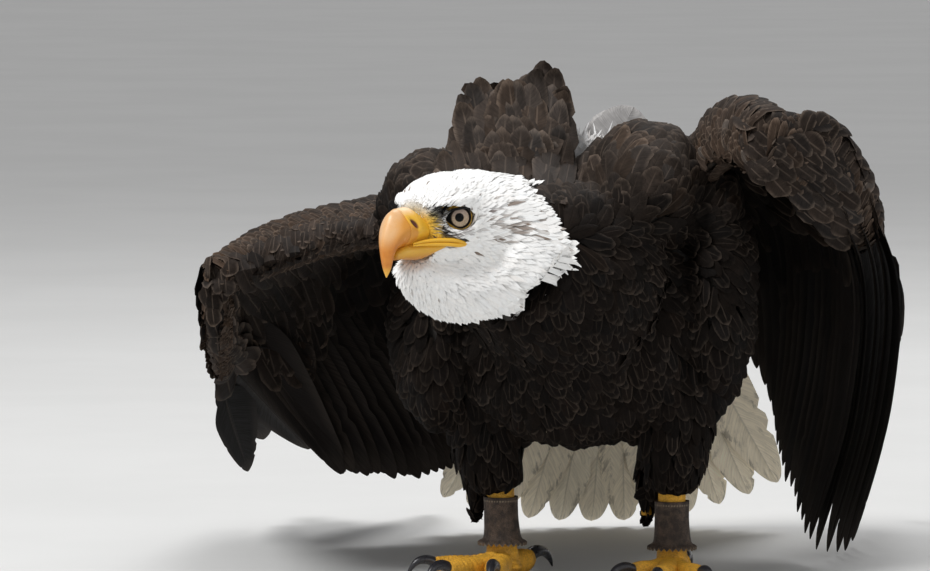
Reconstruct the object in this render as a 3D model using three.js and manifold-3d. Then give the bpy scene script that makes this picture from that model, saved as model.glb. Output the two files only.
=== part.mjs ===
// A bald eagle at life size, standing in a hunched, forward lean with both wings half open and drooped.
// Millimetres, +Z up, the floor at Z = 0. The breast faces -Y, turned a little to -X; the tail and the wing
// tips trail to +Y. Each named mesh is one closed piece: where two pieces meet, the one made later is cut
// back by the earlier one, so that a gap of GAP stays between them.

import * as THREE from "three";
import { mergeVertices } from "three/addons/utils/BufferGeometryUtils.js";
import Module from "manifold-3d";

const wasm = await Module();
wasm.setup();

const GAP = 0.3; // clearance between neighbouring pieces
const SPAN = 520; // larger than half of the bird in any direction, for the block under the floor
const MERGE = 1e-3; // vertices closer than this are one
const STEP = 1e-3; // parameter step for surface normals

const vec = (x, y, z) => new THREE.Vector3(x, y, z);
const radians = THREE.MathUtils.degToRad;

// ---------------------------------------------------------------- interpolation and solids

// Hermite interpolation of one property, a number or a Vector3, through stations sorted by t.
function along(stations, key, t) {
  let i = 0;
  while (i < stations.length - 2 && t > stations[i + 1].t) i++;
  const a = stations[i];
  const b = stations[i + 1];
  const before = stations[i - 1] ?? a;
  const after = stations[i + 2] ?? b;
  const span = b.t - a.t;
  const s = (t - a.t) / span;
  const blend = (p0, p1, q0, q1) => {
    const m0 = ((p1 - q0) / (b.t - before.t)) * span;
    const m1 = ((q1 - p0) / (after.t - a.t)) * span;
    const s2 = s * s;
    const s3 = s2 * s;
    return (
      (2 * s3 - 3 * s2 + 1) * p0 + (s3 - 2 * s2 + s) * m0 + (3 * s2 - 2 * s3) * p1 + (s3 - s2) * m1
    );
  };
  if (typeof a[key] === "number") return blend(a[key], b[key], before[key], after[key]);
  return vec(
    blend(a[key].x, b[key].x, before[key].x, after[key].x),
    blend(a[key].y, b[key].y, before[key].y, after[key].y),
    blend(a[key].z, b[key].z, before[key].z, after[key].z),
  );
}

// A closed geometry as a manifold solid, turned outwards if it is inside out.
function solidOf(geometry) {
  geometry.deleteAttribute("normal");
  geometry.deleteAttribute("uv");
  const merged = mergeVertices(geometry, MERGE);
  const build = (index) =>
    new wasm.Manifold(
      new wasm.Mesh({
        numProp: 3,
        vertProperties: merged.attributes.position.array,
        triVerts: new Uint32Array(index),
      }),
    );
  const made = build(merged.index.array);
  if (made.volume() > 0) return made;
  const turned = Array.from(merged.index.array);
  for (let i = 0; i < turned.length; i += 3) [turned[i + 1], turned[i + 2]] = [turned[i + 2], turned[i + 1]];
  return build(turned);
}

const solidFrom = (points, triangles) =>
  solidOf(new THREE.BufferGeometry().setFromPoints(triangles.flat().map((i) => points[i])));

function geometryOf(solid) {
  const { vertProperties, triVerts } = solid.getMesh();
  const geometry = new THREE.BufferGeometry();
  geometry.setAttribute("position", new THREE.BufferAttribute(vertProperties, 3));
  geometry.setIndex(new THREE.BufferAttribute(triVerts, 1));
  return geometry;
}

// Rings of equally many points, skinned into one solid with a fan over each end.
function skinned(rings) {
  const sides = rings[0].length;
  const points = rings.flat();
  const triangles = [];
  for (let r = 0; r < rings.length - 1; r++)
    for (let k = 0; k < sides; k++) {
      const a = r * sides + k;
      const b = r * sides + ((k + 1) % sides);
      triangles.push([a, b, b + sides], [a, b + sides, a + sides]);
    }
  for (const [ring, turn] of [
    [0, 1],
    [rings.length - 1, 0],
  ]) {
    const middle = rings[ring].reduce((sum, p) => sum.clone().add(p), vec(0, 0, 0)).divideScalar(sides);
    points.push(middle);
    for (let k = 0; k < sides; k++) {
      const a = ring * sides + k;
      const b = ring * sides + ((k + 1) % sides);
      triangles.push(turn ? [points.length - 1, b, a] : [points.length - 1, a, b]);
    }
  }
  return solidFrom(points, triangles);
}

// A body of oval sections. Stations hold t, the centre c, the half width w, and the heights up and down
// from the centre; each section stands square to the path, with its height towards `above`.
function loft(stations, { sides, steps, above = vec(0, 0, 1), grow = 0, squareness = 1 }) {
  const rings = [];
  const first = stations[0].t;
  const last = stations[stations.length - 1].t;
  const round = (x) => Math.sign(x) * Math.abs(x) ** squareness;
  for (let i = 0; i <= steps; i++) {
    const t = first + ((last - first) * i) / steps;
    const ahead = along(stations, "c", Math.min(last, t + STEP * (last - first)));
    const behind = along(stations, "c", Math.max(first, t - STEP * (last - first)));
    const forward = ahead.sub(behind).normalize();
    const right = vec(0, 0, 0).crossVectors(forward, above).normalize();
    const up = vec(0, 0, 0).crossVectors(right, forward).normalize();
    const end = i === 0 ? -grow : i === steps ? grow : 0;
    const centre = along(stations, "c", t).addScaledVector(forward, end);
    const w = Math.max(0.3, along(stations, "w", t)) + grow;
    const tall = Math.max(0.3, along(stations, "up", t)) + grow;
    const deep = Math.max(0.3, along(stations, "down", t)) + grow;
    const ring = [];
    for (let k = 0; k < sides; k++) {
      const angle = (2 * Math.PI * k) / sides;
      const high = round(Math.sin(angle)) * (Math.sin(angle) > 0 ? tall : deep);
      ring.push(
        centre
          .clone()
          .addScaledVector(right, w * round(Math.cos(angle)))
          .addScaledVector(up, high),
      );
    }
    rings.push(ring);
  }
  return skinned(rings);
}

// A round tube through points, with one radius for each point.
function tube(points, radii, { sides = 8, steps = points.length - 1, grow = 0, above } = {}) {
  const stations = points.map((c, t) => ({ t, c, w: radii[t], up: radii[t], down: radii[t] }));
  return loft(stations, { sides, steps, grow, above });
}

function ellipsoid(centre, radii, { grow = 0, across = 12, rows = 8 } = {}) {
  const ball = new THREE.SphereGeometry(1, across, rows);
  ball.scale(radii.x + grow, radii.y + grow, radii.z + grow);
  ball.translate(centre.x, centre.y, centre.z);
  return solidOf(ball);
}

// A curved sheet with thickness: point(u, v) is its middle, thick(u, v) the depth on its two sides, and
// rows(u) lists the v of each row, so that an edge can be scalloped. The first side is the one towards
// `outward` at the middle of the sheet. `steady` makes the depth lie along `outward` all over, for a sheet
// that twists.
function sheet({ point, us, rows, thick, outward, steady = false, grow = 0 }) {
  const tangents = (u, v) => [
    point(u + STEP, v).sub(point(u - STEP, v)).normalize(),
    point(u, v + STEP).sub(point(u, v - STEP)).normalize(),
  ];
  const across = rows(us[0]).length;
  const edge = (k, count) => (k === 0 ? -grow : k === count - 1 ? grow : 0);
  const middle = us[Math.floor(us.length / 2)];
  const [alongU, alongV] = tangents(middle, rows(middle)[Math.floor(across / 2)]);
  const facing = Math.sign(alongU.cross(alongV).dot(outward));
  const outer = [];
  const inner = [];
  us.forEach((u, i) =>
    rows(u).forEach((v, j) => {
      const [du, dv] = tangents(u, v);
      const normal = steady ? outward.clone() : du.clone().cross(dv).multiplyScalar(facing);
      if (steady) normal.addScaledVector(dv, -normal.dot(dv));
      normal.normalize();
      const [above, below] = thick(u, v);
      const centre = point(u, v)
        .addScaledVector(du, edge(i, us.length))
        .addScaledVector(dv, edge(j, across));
      outer.push(centre.clone().addScaledVector(normal, above + grow));
      inner.push(centre.addScaledVector(normal, -below - grow));
    }),
  );
  const points = [...outer, ...inner];
  const triangles = [];
  const quad = (a, b, c, d) => triangles.push([a, b, c], [a, c, d]);
  const id = (i, j) => i * across + j;
  const lower = outer.length;
  for (let i = 0; i < us.length - 1; i++)
    for (let j = 0; j < across - 1; j++) {
      const [a, b, c, d] = [id(i, j), id(i + 1, j), id(i + 1, j + 1), id(i, j + 1)];
      quad(a, b, c, d);
      quad(lower + a, lower + d, lower + c, lower + b);
    }
  const rim = [];
  for (let i = 0; i < us.length - 1; i++) rim.push(id(i, 0));
  for (let j = 0; j < across - 1; j++) rim.push(id(us.length - 1, j));
  for (let i = us.length - 1; i > 0; i--) rim.push(id(i, across - 1));
  for (let j = across - 1; j > 0; j--) rim.push(id(0, j));
  rim.forEach((a, k) => {
    const b = rim[(k + 1) % rim.length];
    quad(b, a, lower + a, lower + b);
  });
  return solidFrom(points, triangles);
}

const united = (solids) => solids.reduce((sum, s) => sum.add(s));
const range = (from, to, count) =>
  Array.from({ length: count + 1 }, (_, i) => from + ((to - from) * i) / count);

// ---------------------------------------------------------------- frames

// A frame holds an origin and three unit directions: left of the bird, back towards the tail, and up.
function frame(origin, yaw, roll, pitch) {
  const turn = new THREE.Matrix4()
    .makeRotationZ(radians(yaw))
    .multiply(new THREE.Matrix4().makeRotationY(radians(roll)))
    .multiply(new THREE.Matrix4().makeRotationX(radians(pitch)));
  turn.setPosition(origin);
  return (x, y, z) => vec(x, y, z).applyMatrix4(turn);
}

const BODY = { centre: vec(20, 12, 192), yaw: -15, roll: -12, pitch: 12 };
const body = frame(BODY.centre, BODY.yaw, BODY.roll, BODY.pitch);
const bodyUp = body(0, 0, 1).sub(BODY.centre);

const HEAD = { centre: vec(-89, -190, 265), yaw: -36, roll: 0, pitch: 4 };
const head = frame(HEAD.centre, HEAD.yaw, HEAD.roll, HEAD.pitch);
const headUp = head(0, 0, 1).sub(HEAD.centre);
const face = (forward, side, up) => head(side, -forward, up); // in the head's own terms

// ---------------------------------------------------------------- trunk, neck and head

const TRUNK = [
  { t: -128, w: 20, up: 22, down: 24, z: 4 },
  { t: -108, w: 62, up: 60, down: 62, z: 2 },
  { t: -70, w: 90, up: 84, down: 86, z: 0 },
  { t: -15, w: 104, up: 92, down: 98, z: 0 },
  { t: 45, w: 102, up: 88, down: 98, z: 2 },
  { t: 100, w: 86, up: 74, down: 82, z: 10 },
  { t: 150, w: 60, up: 50, down: 56, z: 24 },
].map((s) => ({ ...s, c: body(0, s.t, s.z) }));

// The scapulars over each shoulder and the fluffed flanks round out the trunk.
const HUMPS = [
  { at: vec(-84, -30, 257), radii: vec(48, 84, 50) },
  { at: vec(58, -24, 272), radii: vec(50, 92, 54) },
  { at: vec(6, 14, 250), radii: vec(84, 128, 48) },
  { at: vec(-84, -6, 176), radii: vec(40, 72, 78) },
  { at: vec(106, -16, 205), radii: vec(34, 78, 95) },
];

// The rump turns down into the tail and ends in the coverts over its root.
const RUMP = [
  { t: 0, c: body(0, 138, 22), w: 62, up: 52, down: 56 },
  { t: 1, c: vec(46, 172, 244), w: 52, up: 38, down: 46 },
  { t: 2, c: vec(46, 204, 204), w: 45, up: 24, down: 30 },
  { t: 3, c: vec(45, 226, 164), w: 44, up: 13, down: 16 },
  { t: 4, c: vec(45, 240, 140), w: 46, up: 5, down: 6 },
];

const trunk = (grow) =>
  united([
    loft(TRUNK, { sides: 14, steps: 7, above: bodyUp, grow }),
    ...HUMPS.map(({ at, radii }) => ellipsoid(at, radii, { grow, across: 9, rows: 5 })),
  ]);
const rump = (grow) => loft(RUMP, { sides: 12, steps: 5, above: vec(0.1, 0.5, 0.86), grow });

// The white hood, full at the throat, ends a hand's breadth behind the eyes. The brown neck below it widens
// into the breast.
const HOOD = [
  { t: 0, c: face(-20, 1, -4), w: 36, up: 28, down: 36 },
  { t: 1, c: face(-46, 3, -9), w: 47, up: 38, down: 47 },
  { t: 2, c: vec(-38, -136, 235), w: 58, up: 50, down: 54 },
];
const THROAT = [
  { t: 0, c: face(24, 0, -31), w: 9, up: 5, down: 5 },
  { t: 1, c: vec(-97, -196, 226), w: 20, up: 15, down: 14 },
  { t: 2, c: vec(-80, -172, 216), w: 34, up: 28, down: 24 },
  { t: 3, c: vec(-56, -144, 220), w: 46, up: 36, down: 34 },
];
const NECK = [
  { t: 0, c: vec(-38, -136, 235), w: 58, up: 50, down: 54 },
  { t: 1, c: vec(-14, -108, 226), w: 72, up: 60, down: 68 },
  { t: 2, c: vec(6, -72, 216), w: 80, up: 68, down: 78 },
];
const hood = (grow) =>
  united([loft(HOOD, { sides: 14, steps: 3, grow }), loft(THROAT, { sides: 10, steps: 4, grow })]);
const neck = (grow) => loft(NECK, { sides: 14, steps: 2, grow });

// The head's sections run from the nape to the lores, in the head's own frame.
const SKULL = [
  { t: -56, w: 27, up: 21, down: 27, z: -2 },
  { t: -36, w: 35, up: 28, down: 34, z: -2 },
  { t: -14, w: 35, up: 29.5, down: 34, z: -1 },
  { t: 2, w: 29.5, up: 26.5, down: 33, z: -2 },
  { t: 15, w: 20.5, up: 20, down: 28, z: -4 },
  { t: 27, w: 12.5, up: 13, down: 22, z: -6 },
].map((s) => ({ ...s, c: face(s.t, 0, s.z) }));

const EYE = { radius: 12, forward: -5, side: 16.5, up: 0 };
const eyeCentre = (side) => face(EYE.forward, side * EYE.side, EYE.up);
const eye = (side) => (grow) =>
  ellipsoid(eyeCentre(side), vec(1, 1, 1).multiplyScalar(EYE.radius), { grow, across: 10, rows: 7 });
// The brow ridge overhangs each eye from behind it to the base of the bill.
const BROW = [
  { at: [-17, 30, 9.5], radius: 2.4 },
  { at: [-3, 27.5, 12], radius: 3.8 },
  { at: [9, 20.5, 10.6], radius: 3.6 },
  { at: [17, 13, 8.8], radius: 1.8 },
];
const SOCKET = { at: [4, 29, -1], radii: vec(13, 12, 8.5) };

const skull = (grow) => {
  const [forward, out, up] = SOCKET.at;
  const sockets = [-1, 1].map((side) =>
    ellipsoid(face(forward, side * out, up), SOCKET.radii, { across: 8, rows: 6 }),
  );
  const brows = [-1, 1].map((side) =>
    tube(
      BROW.map(({ at }) => face(at[0], side * at[1], at[2])),
      BROW.map(({ radius }) => radius),
      { sides: 5, grow },
    ),
  );
  const bare = loft(SKULL, { sides: 14, steps: 7, above: headUp, grow }).subtract(united(sockets));
  return united([bare, ...brows]);
};

// ---------------------------------------------------------------- bill

// Sections between a top and a bottom point, each [forward, up], with a half width and a pinched ridge.
function profileLoft(stations, { sides, steps, pinch, grow }) {
  const last = stations.length - 1;
  const rings = [];
  for (let i = 0; i <= steps; i++) {
    const t = (last * i) / steps;
    const listed = stations.map(([topF, topU, lowF, lowU, w], k) => ({
      t: k,
      top: vec(topF, topU, 0),
      low: vec(lowF, lowU, 0),
      w,
    }));
    const top = along(listed, "top", t);
    const low = along(listed, "low", t);
    const middle = top.clone().add(low).multiplyScalar(0.5);
    const half = top.clone().sub(low).multiplyScalar(0.5);
    half.setLength(half.length() + grow);
    const w = along(listed, "w", t) + grow;
    const end = i === 0 ? -grow : i === steps ? grow : 0;
    const ring = [];
    for (let k = 0; k < sides; k++) {
      const angle = (2 * Math.PI * k) / sides;
      const high = Math.sin(angle);
      const side = w * Math.cos(angle) * (1 - pinch * Math.max(0, high));
      const p = middle.clone().addScaledVector(half, high);
      ring.push(face(p.x + end, side, p.y));
    }
    rings.push(ring);
  }
  return skinned(rings);
}

const MOUTH = -16.5; // height of the closed mouth below the eyes
// Each row: forward and up of the top, forward and up of the bottom, half width.
const CERE = [
  [20, 4.5, 20, MOUTH, 12.8],
  [29, 9.4, 28, MOUTH, 13],
  [39.5, 9.8, 39, MOUTH - 0.2, 11.8],
];
const UPPER_BILL = [
  [39.9, 9.7, 39.4, MOUTH - 0.2, 11.6],
  [47.5, 7.2, 43.5, MOUTH - 1, 10.2],
  [53.2, -0.5, 46.5, MOUTH - 2.6, 8.2],
  [56.8, -10, 48, MOUTH - 5, 6.2],
  [57.6, -20, 49, MOUTH - 9, 4.6],
  [56.2, -28, 50.6, MOUTH - 13.4, 3.2],
  [53.8, -34.6, 53.2, -34.5, 0.6],
];
const LOWER_BILL = [
  [8, MOUTH - 2.2, 10, MOUTH - 10, 12.5],
  [25, MOUTH - 1.8, 25, -27.4, 10.6],
  [38, MOUTH - 2.2, 38, -26.4, 7.8],
  [46, MOUTH - 5, 46, -24.8, 4.4],
];
// The fleshy edge of the mouth runs back from the cere to the corner below the eye.
const GAPE = { over: 1.9, under: -2.4, radius: 1.9 }; // heights of the two lips from the mouth's line
const gape = (side, height, grow) =>
  tube(
    [
      face(-3, side * 25.5, MOUTH + height),
      face(8, side * 22.5, MOUTH + height),
      face(20, side * 16.5, MOUTH + height - 0.4),
      face(31, side * 12.4, MOUTH + height - 0.8),
    ],
    [0.8, 1, 1, 0.9].map((share) => share * GAPE.radius),
    { sides: 5, steps: 3, grow },
  );
const cere = (grow) =>
  united([
    profileLoft(CERE, { sides: 10, steps: 3, pinch: 0.25, grow }),
    gape(-1, GAPE.over, grow),
    gape(1, GAPE.over, grow),
  ]);
const upperBill = (grow) => profileLoft(UPPER_BILL, { sides: 10, steps: 10, pinch: 0.35, grow });
const lowerBill = (grow) =>
  united([
    profileLoft(LOWER_BILL, { sides: 8, steps: 4, pinch: 0, grow }),
    gape(-1, GAPE.under, grow),
    gape(1, GAPE.under, grow),
  ]);

// ---------------------------------------------------------------- raised back feathers

// One broad feather as a thin closed blade from root to tip.
function blade({ root, tip, face: outward, width, thickness = 2.2, bend = 0, grow = 0, steps = 5 }) {
  const length = tip.clone().sub(root);
  const right = vec(0, 0, 0).crossVectors(length, outward).normalize();
  const normal = vec(0, 0, 0).crossVectors(right, length).normalize();
  const rings = range(0, 1, steps).map((s) => {
    const end = s === 0 ? -grow : s === 1 ? grow : 0;
    const middle = root
      .clone()
      .addScaledVector(length, s)
      .addScaledVector(normal, 4 * bend * s * (1 - s))
      .addScaledVector(length.clone().normalize(), end);
    const half = 0.5 * width * (0.62 + 0.38 * Math.sin(Math.PI * Math.min(1, s * 1.25))) * (1 - 0.8 * s ** 7);
    const deep = 0.5 * thickness * (1 - 0.6 * s) + grow;
    return [
      middle.clone().addScaledVector(right, half + grow),
      middle.clone().addScaledVector(normal, deep),
      middle.clone().addScaledVector(right, -half - grow),
      middle.clone().addScaledVector(normal, -deep),
    ];
  });
  return skinned(rings);
}

// The feathers of the mantle stand up in a ragged fan behind the head.
const MANTLE = [
  { t: 0, c: vec(-34, -34, 264), w: 52, up: 36, down: 30 },
  { t: 1, c: vec(-33, -14, 298), w: 48, up: 28, down: 26 },
  { t: 2, c: vec(-30, 6, 326), w: 38, up: 18, down: 16 },
  { t: 3, c: vec(-26, 16, 344), w: 26, up: 8, down: 8 },
];
const CREST = {
  tips: [vec(-60, 22, 351), vec(-44, 26, 354), vec(-26, 28, 361), vec(-9, 30, 363), vec(6, 26, 337)],
  spread: 0.3, // how far a root stands in towards the mantle's middle, as a share of its tip's distance
  reach: vec(0, -22, -64), // from a tip to its root
  face: vec(0, -1, 0.3),
  width: 32,
  thickness: 5,
};
const mantle = (grow) =>
  united([
    loft(MANTLE, { sides: 12, steps: 4, above: vec(0, -1, 0), grow }),
    ...CREST.tips.map((tip) =>
      blade({
        root: tip.clone().add(CREST.reach).add(vec(CREST.spread * (MANTLE[0].c.x - tip.x), 0, 0)),
        tip,
        face: CREST.face,
        width: CREST.width,
        thickness: CREST.thickness,
        grow,
        steps: 3,
      }),
    ),
  ]);

// One scapular feather is blown out of place and shows its pale down.
const liftedFeather = (grow) =>
  blade({
    root: vec(24, -4, 286),
    tip: vec(52, 18, 329),
    face: vec(-0.2, -1, 0.4),
    width: 44,
    thickness: 5,
    bend: -4,
    grow,
  });

// ---------------------------------------------------------------- wings

// Each half of a wing is a surface point(g, v). g counts flight feathers outwards from the body: up to 0 are
// the tertials and scapulars, 0 to 14 the secondaries, 15 to 24 the primaries. v is -1 on the leading edge, 0
// on the bones and 1 at a feather's tip. The arm and the hand meet in a sharp bend at the wrist.
const TERTIALS_FROM = -4;
const WRIST = 14.5;
const LAST = 24;
const LEFT_WRIST = {
  t: WRIST,
  lead: vec(132, -124, 289),
  root: vec(150, -98, 315),
  tip: vec(180, 76, 12),
  bulge: 46,
};
const RIGHT_WRIST = {
  t: WRIST,
  lead: vec(-230, -114, 212),
  root: vec(-234, -94, 216),
  tip: vec(-162, 214, 52),
  bulge: 28,
};
const WINGS = {
  left: {
    dorsal: vec(0.9, 0.1, 0.5),
    handFace: vec(0.8, -0.1, 0.6),
    twisted: true,
    arm: [
      { t: -4, lead: vec(44, -36, 296), root: vec(60, 118, 284), tip: vec(84, 232, 196), bulge: 14 },
      { t: 0, lead: vec(86, -46, 276), root: vec(108, 112, 284), tip: vec(146, 205, 128), bulge: 18 },
      { t: 7, lead: vec(108, -84, 298), root: vec(132, 2, 314), tip: vec(162, 150, 60), bulge: 40 },
      LEFT_WRIST,
    ],
    hand: [
      LEFT_WRIST,
      { t: 17, lead: vec(154, -101, 274), root: vec(180, -73, 314), tip: vec(202, 138, 3), bulge: 42 },
      { t: 19, lead: vec(168, -78, 260), root: vec(192, -50, 300), tip: vec(216, 196, 5), bulge: 34 },
      { t: 21, lead: vec(186, -52, 246), root: vec(207, -24, 278), tip: vec(238, 350, 46), bulge: 20 },
      { t: 22, lead: vec(194, -38, 240), root: vec(212, -12, 266), tip: vec(243, 396, 79), bulge: 10 },
      { t: 23, lead: vec(202, -20, 234), root: vec(216, 2, 254), tip: vec(246, 383, 88), bulge: 6 },
      { t: 24, lead: vec(208, -4, 228), root: vec(218, 14, 242), tip: vec(249, 315, 134), bulge: 4 },
    ],
  },
  right: {
    dorsal: vec(-0.75, 0.2, 0.65),
    handFace: vec(-0.45, 0.3, 0.84),
    twisted: false,
    arm: [
      { t: -4, lead: vec(-54, -36, 268), root: vec(-62, 118, 258), tip: vec(-10, 246, 168), bulge: 12 },
      { t: 0, lead: vec(-92, -44, 252), root: vec(-136, 112, 236), tip: vec(-52, 262, 70), bulge: 16 },
      { t: 7, lead: vec(-158, -76, 242), root: vec(-196, 6, 226), tip: vec(-92, 250, 46), bulge: 26 },
      RIGHT_WRIST,
    ],
    hand: [
      RIGHT_WRIST,
      { t: 19, lead: vec(-236, -62, 170), root: vec(-235, -48, 176), tip: vec(-118, 345, 40), bulge: 22 },
      { t: 21, lead: vec(-238, -32, 157), root: vec(-236, -18, 164), tip: vec(-112, 405, 34), bulge: 16 },
      { t: 22, lead: vec(-239, -16, 151), root: vec(-237, -4, 158), tip: vec(-183, 344, 56), bulge: 10 },
      { t: 23, lead: vec(-240, 2, 145), root: vec(-238, 13, 152), tip: vec(-216, 370, 59), bulge: 6 },
      { t: 24, lead: vec(-240, 20, 138), root: vec(-238, 30, 145), tip: vec(-225, 316, 38), bulge: 4 },
    ],
  },
};

const FIRST_BEND = 0.33; // share of a feather's chord at which it bulges most
const SECOND_BEND = 0.67;
const BULGE_KEPT = 0.8; // of the bulge, at the second bend

// Uniform Catmull-Rom through the leading edge, the bones, two bulged points and the tip.
function wingPoint(stations, dorsal, g, v) {
  const lead = along(stations, "lead", g);
  const root = along(stations, "root", g);
  const tip = along(stations, "tip", g);
  const bulge = along(stations, "bulge", g);
  const chord = tip.clone().sub(root);
  const slant = dorsal.dot(chord) / chord.lengthSq();
  const out = dorsal.clone().addScaledVector(chord, -slant).normalize();
  const knots = [
    lead,
    root,
    root.clone().addScaledVector(chord, FIRST_BEND).addScaledVector(out, bulge),
    root.clone().addScaledVector(chord, SECOND_BEND).addScaledVector(out, bulge * BULGE_KEPT),
    tip,
  ].map((c, t) => ({ t: t === 0 ? -1 : (t - 1) / 3, c }));
  return along(knots, "c", v);
}

const COVERTS = { arm: 0.4, hand: 0.24 }; // how far the coverts reach towards the feather tips
const HAND_PAST = 0.4; // how far they run on past the last primary
const UPPER_SHARE = 0.55; // of the plumage's depth lies above the bones, the rest below
const EDGE = { front: 0.94, back: 0.86 }; // how much of the depth is lost at the two edges
const smooth = (x) => x * x * (3 - 2 * x);

// The plumage over the bones is thick in the middle and thin at both edges. `deep` lists how thick it is for
// each g.
const coverts = ({ half, dorsal, us, reach, deep, outward = dorsal, steady = false }) => (grow) =>
  sheet({
    point: (g, v) => wingPoint(half, dorsal, g, v),
    us,
    rows: () => [-1, -0.8, -0.4, 0, reach / 2, reach],
    thick: (g, v) => {
      const full = along(deep, "depth", g);
      const front = v < 0 ? Math.sqrt(1 - v * v * EDGE.front) : 1;
      const back = v > 0 ? 1 - EDGE.back * smooth(v / reach) : 1;
      return [UPPER_SHARE * full * front * back, (1 - UPPER_SHARE) * full * front * back];
    },
    outward,
    steady,
    grow,
  });
const ARM_DEPTH = [
  { t: TERTIALS_FROM, depth: 34 },
  { t: 7, depth: 36 },
  { t: WRIST, depth: 26 },
];
const HAND_DEPTH = [
  { t: WRIST, depth: 24 },
  { t: 18, depth: 24 },
  { t: LAST + 1, depth: 14 },
];

// Flight feathers from = g to = g lie side by side as one sheet, scalloped feather by feather.
const PANEL = { depth: 1.6, notch: 0.045, clear: 0.014 };
const panel = (half, dorsal, from, to, start) => (grow) => {
  const us = range(from - 0.5, to + 0.5, 2 * (to - from + 1));
  const notched = (g) => smooth(2 * Math.abs(g - Math.round(g)));
  return sheet({
    point: (g, v) => wingPoint(half, dorsal, g, v),
    us,
    rows: (g) => range(start + PANEL.clear, 1 - PANEL.notch * notched(g), 2),
    thick: (g, v) => [PANEL.depth * (1 - 0.5 * v), PANEL.depth * (1 - 0.5 * v)],
    outward: dorsal,
    grow,
  });
};

// The three outermost primaries stand apart as blades, each lying on the next one inwards.
const PRIMARIES = 10;
const OUTER = { count: 3, width: { 8: 46, 9: 40, 10: 36 }, thickness: 2.6, from: 0.36, rise: 2.4 };
const primary = (wing, number) => (grow) => {
  const g = LAST - PRIMARIES + number;
  const rise = (number - PRIMARIES + OUTER.count) * OUTER.rise;
  return blade({
    root: wingPoint(wing.hand, wing.dorsal, g, OUTER.from).addScaledVector(wing.handFace, rise),
    tip: along(wing.hand, "tip", g).addScaledVector(wing.handFace, rise),
    face: wing.handFace,
    width: OUTER.width[number],
    thickness: OUTER.thickness,
    bend: along(wing.hand, "bulge", g),
    grow,
    steps: 4,
  });
};

// The thumb's feathers lie along the hand's leading edge from the wrist.
const ALULA = { from: 15.5, to: 20.5, edge: -0.7, lift: 15, width: 26, thickness: 5 };
const alula = ({ hand, dorsal }) => (grow) => {
  const end = (g) => wingPoint(hand, dorsal, g, ALULA.edge).addScaledVector(dorsal, ALULA.lift);
  return blade({
    root: end(ALULA.from),
    tip: end(ALULA.to),
    face: dorsal,
    width: ALULA.width,
    thickness: ALULA.thickness,
    grow,
  });
};

// ---------------------------------------------------------------- tail

// Twelve feathers spread from the rump; those that reach the floor bend and lie along it.
const TAIL = { reach: 306, inner: 40, half: 28, feathers: 12, depth: 1.6, arch: 12, tilt: 10 };
const tailTop = vec(45, 173, 252);
const tailEnd = vec(42, 322, 4);
const tailDown = tailEnd.clone().sub(tailTop).normalize();
const tailLeft = vec(Math.cos(radians(TAIL.tilt)), 0, Math.sin(radians(TAIL.tilt)));
const tailSide = tailLeft.clone().addScaledVector(tailDown, -tailLeft.dot(tailDown)).normalize();
const tailOut = vec(0, 0, 0).crossVectors(tailSide, tailDown).normalize();
const FLOOR_EASE = 10; // how softly a feather bends onto the floor

// a is the angle off the middle in degrees and r the distance from the tail's root.
function tailPoint(a, r) {
  const swing = radians(a);
  const p = tailTop
    .clone()
    .addScaledVector(tailDown, r * Math.cos(swing))
    .addScaledVector(tailSide, r * Math.sin(swing))
    .addScaledVector(tailOut, TAIL.arch * Math.cos(swing * 3) * (r / TAIL.reach));
  p.z = 0.5 * (p.z + Math.hypot(p.z, FLOOR_EASE));
  return p;
}
const tail = (grow) => {
  const pitch = (2 * TAIL.half) / TAIL.feathers;
  const us = range(0, TAIL.feathers, TAIL.feathers * 2).map((k) => -TAIL.half + k * pitch);
  const notch = (a) => 2 * Math.abs(((a + TAIL.half) / pitch) % 1 - 0.5);
  return sheet({
    point: tailPoint,
    us,
    rows: (a) => range(TAIL.inner, TAIL.reach * (1 - 0.04 * smooth(notch(a))), 2),
    thick: () => [TAIL.depth, TAIL.depth],
    outward: tailOut,
    grow,
  });
};

// ---------------------------------------------------------------- legs and feet

const LEGS = {
  right: {
    hip: vec(-36, 22, 158),
    knee: vec(-50, 8, 104),
    heel: vec(-42, 8, 60),
    foot: vec(-40, 6, 0),
    yaw: -38,
  },
  left: {
    hip: vec(76, -6, 168),
    knee: vec(80, -26, 112),
    heel: vec(78, -22, 62),
    foot: vec(78, -26, 0),
    yaw: -10,
  },
};
const ANKLE = 15; // height of the joint between the tarsus and the toes
const TARSUS = { radius: 8.6, middle: 40, top: 70 };
const ANKLET = { low: 22, high: 56, inner: 9.4, outer: 12.2, rim: 17, flare: 5, swell: 0.8 };

// The feathered thigh, oval and deepest at the hip, with a tuft that hangs behind the heel.
const THIGH = {
  hip: { w: 46, up: 58, down: 58 },
  knee: { w: 33, up: 42, down: 42 },
  heel: { w: 17, up: 19, down: 19 },
};
const TUFT = [
  { joint: "knee", off: vec(-12, 22, -12), radius: 20 },
  { joint: "heel", off: vec(-15, 20, 4), radius: 13 },
  { joint: "heel", off: vec(-18, 18, -28), radius: 1.5 },
];
const thigh = (leg) => (grow) =>
  united([
    loft(
      Object.entries(THIGH).map(([joint, section], t) => ({ t, c: leg[joint], ...section })),
      { sides: 10, steps: 4, above: vec(0, -1, 0), grow },
    ),
    tube(
      TUFT.map(({ joint, off }) => leg[joint].clone().add(off)),
      TUFT.map(({ radius }) => radius),
      { sides: 6, steps: 3, grow, above: vec(0, -1, 0) },
    ),
  ]);

const tarsus = (leg) => (grow) =>
  tube(
    [
      leg.foot.clone().setZ(ANKLE),
      leg.foot.clone().lerp(leg.heel, 0.5).setZ(TARSUS.middle),
      leg.heel.clone().setZ(TARSUS.top),
    ],
    [TARSUS.radius, TARSUS.radius, TARSUS.radius],
    { sides: 8, grow, above: vec(0, -1, 0) },
  );

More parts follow.
